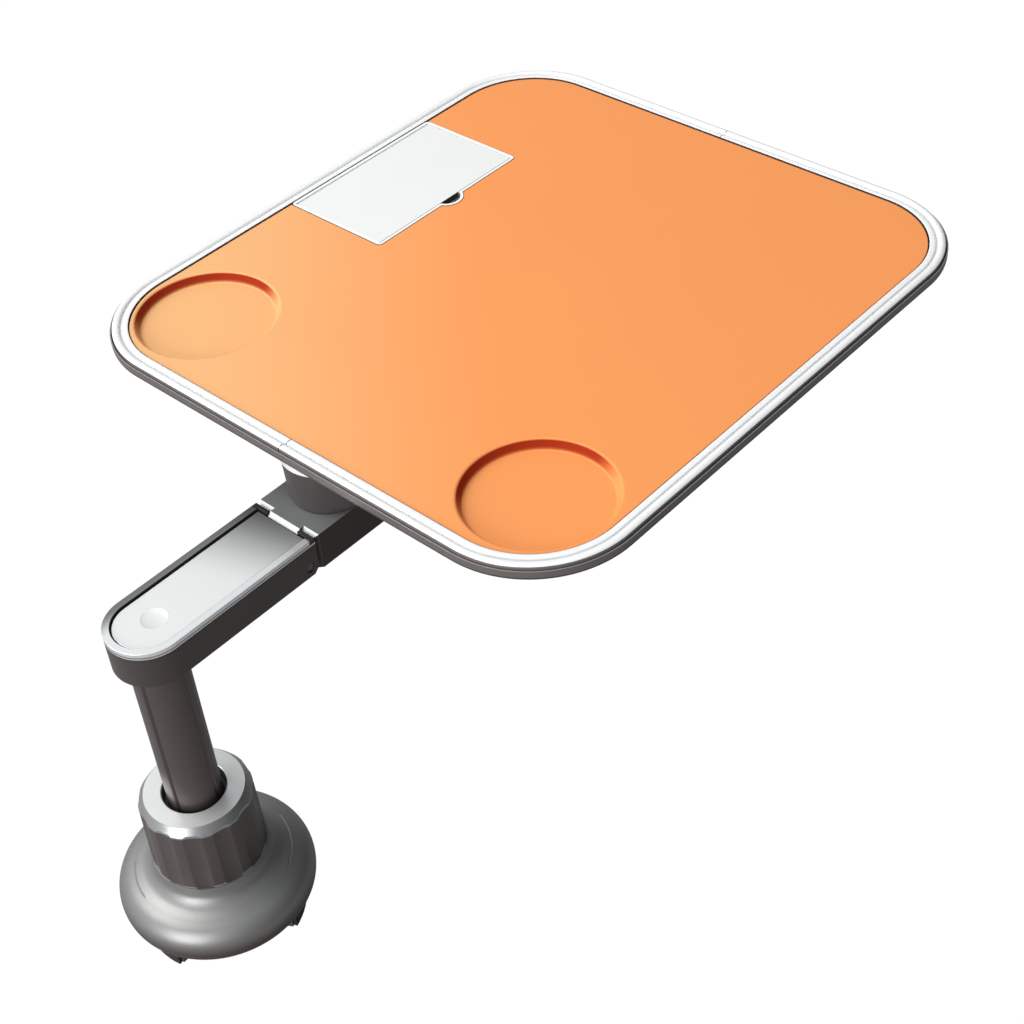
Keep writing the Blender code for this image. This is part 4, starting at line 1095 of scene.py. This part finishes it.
stage = dict(floorSize=14, floorHeight=-0.0006, floorColour=(0.35, 0.34, 0.34), floorRough=0.9,
             floorGlow=0.93, glow=1.07)
sky = dict(colour=(0.95, 0.97, 1.0, 1), way=(-0.5, 0.55, 0.67), start=-0.5, low=0.02, high=1.0)


def makeFloor():
    clearSelection()
    bpy.ops.mesh.primitive_plane_add(size=stage["floorSize"], location=(0, 0, stage["floorHeight"]))
    floor = nameNew("floor")
    graph = Graph("paleFloor")
    graph.set(Base_Color=stage["floorColour"], Roughness=stage["floorRough"])
    seen = graph.add("ShaderNodeLightPath", {}, out=0)
    glow = graph.add("ShaderNodeEmission", {}, (1, 1, 1), stage["glow"])
    both = graph.add("ShaderNodeMixShader", {}, seen * stage["floorGlow"])
    graph.tree.links.new(graph.shader.outputs[0], both.socket.node.inputs[1])
    graph.tree.links.new(glow.socket, both.socket.node.inputs[2])
    graph.tree.links.new(both.socket, graph.tree.nodes["Material Output"].inputs["Surface"])
    floor.data.materials.append(graph.material)


def makeWorld():
    # brighter toward one side; plain white where the camera looks past the object
    world = bpy.data.worlds.new("studio")
    bpy.context.scene.world = world
    world.use_nodes = True
    tree = world.node_tree
    back = tree.nodes["Background"]
    back.inputs["Color"].default_value = sky["colour"]
    way = tree.nodes.new("ShaderNodeTexCoord")
    facing = tree.nodes.new("ShaderNodeVectorMath")
    facing.operation = "DOT_PRODUCT"
    facing.inputs[1].default_value = sky["way"]
    level = tree.nodes.new("ShaderNodeMapRange")
    level.inputs["From Min"].default_value = sky["start"]
    level.inputs["To Min"].default_value = sky["low"]
    level.inputs["To Max"].default_value = sky["high"]
    tree.links.new(way.outputs["Generated"], facing.inputs[0])
    tree.links.new(facing.outputs["Value"], level.inputs["Value"])
    tree.links.new(level.outputs[0], back.inputs["Strength"])
    white = tree.nodes.new("ShaderNodeBackground")
    white.inputs["Color"].default_value = (1, 1, 1, 1)
    path = tree.nodes.new("ShaderNodeLightPath")
    mix = tree.nodes.new("ShaderNodeMixShader")
    tree.links.new(path.outputs["Is Camera Ray"], mix.inputs[0])
    tree.links.new(back.outputs[0], mix.inputs[1])
    tree.links.new(white.outputs[0], mix.inputs[2])
    tree.links.new(mix.outputs[0], tree.nodes["World Output"].inputs["Surface"])


lamps = {
    "keyPanel": dict(at=(-0.5, 0.9, 1.7), aim=(0.15, 0, 0.2), size=0.9, power=19, colour=(1, 0.99, 0.97)),
    "leftPanel": dict(at=(-1.5, -0.3, 0.7), aim=(0.0, 0, 0.12), size=0.8, power=17, colour=(1, 1, 1)),
}


def makeLamps():
    for name, lamp in lamps.items():
        bpy.ops.object.light_add(type="AREA", location=lamp["at"])
        panel = bpy.context.object
        panel.name = name
        panel.data.shape = "SQUARE"
        panel.data.size = lamp["size"]
        panel.data.energy = lamp["power"]
        panel.data.color = lamp["colour"]
        way = Vector(lamp["aim"]) - Vector(lamp["at"])
        panel.rotation_euler = way.to_track_quat("-Z", "Y").to_euler()


# the camera stands where a fit to the photograph's lines put it; the focal length is in its pixels
shot = dict(at=(-0.262032, -0.480447, 0.733314), yaw=0.7823038, pitch=0.7369110, roll=-0.0849811,
            focal=1768.3277, photoWidth=1024, filmWidth=36, near=0.01, far=50)


def makeCamera():
    cosY, sinY = math.cos(shot["yaw"]), math.sin(shot["yaw"])
    cosP, sinP = math.cos(shot["pitch"]), math.sin(shot["pitch"])
    cosR, sinR = math.cos(shot["roll"]), math.sin(shot["roll"])
    forward = Vector((cosY * cosP, sinY * cosP, -sinP))
    level = Vector((sinY, -cosY, 0))
    upright = level.cross(forward)
    right = cosR * level + sinR * upright
    up = -sinR * level + cosR * upright
    bpy.ops.object.camera_add(location=shot["at"])
    camera = bpy.context.object
    camera.name = "photoCamera"
    turn = camera.matrix_world.to_3x3()
    for row in range(3):
        turn[row][0], turn[row][1], turn[row][2] = right[row], up[row], -forward[row]
    camera.rotation_euler = turn.to_euler()
    camera.data.sensor_width = shot["filmWidth"]
    camera.data.lens = shot["focal"] * shot["filmWidth"] / shot["photoWidth"]
    camera.data.clip_start = shot["near"]
    camera.data.clip_end = shot["far"]
    bpy.context.scene.camera = camera


clearSelection()
makeFloor()
makeWorld()
makeLamps()
makeCamera()
bpy.context.scene.view_settings.view_transform = "Standard"
print("stage ready")

clearSelection()
bpy.context.view_layer.update()
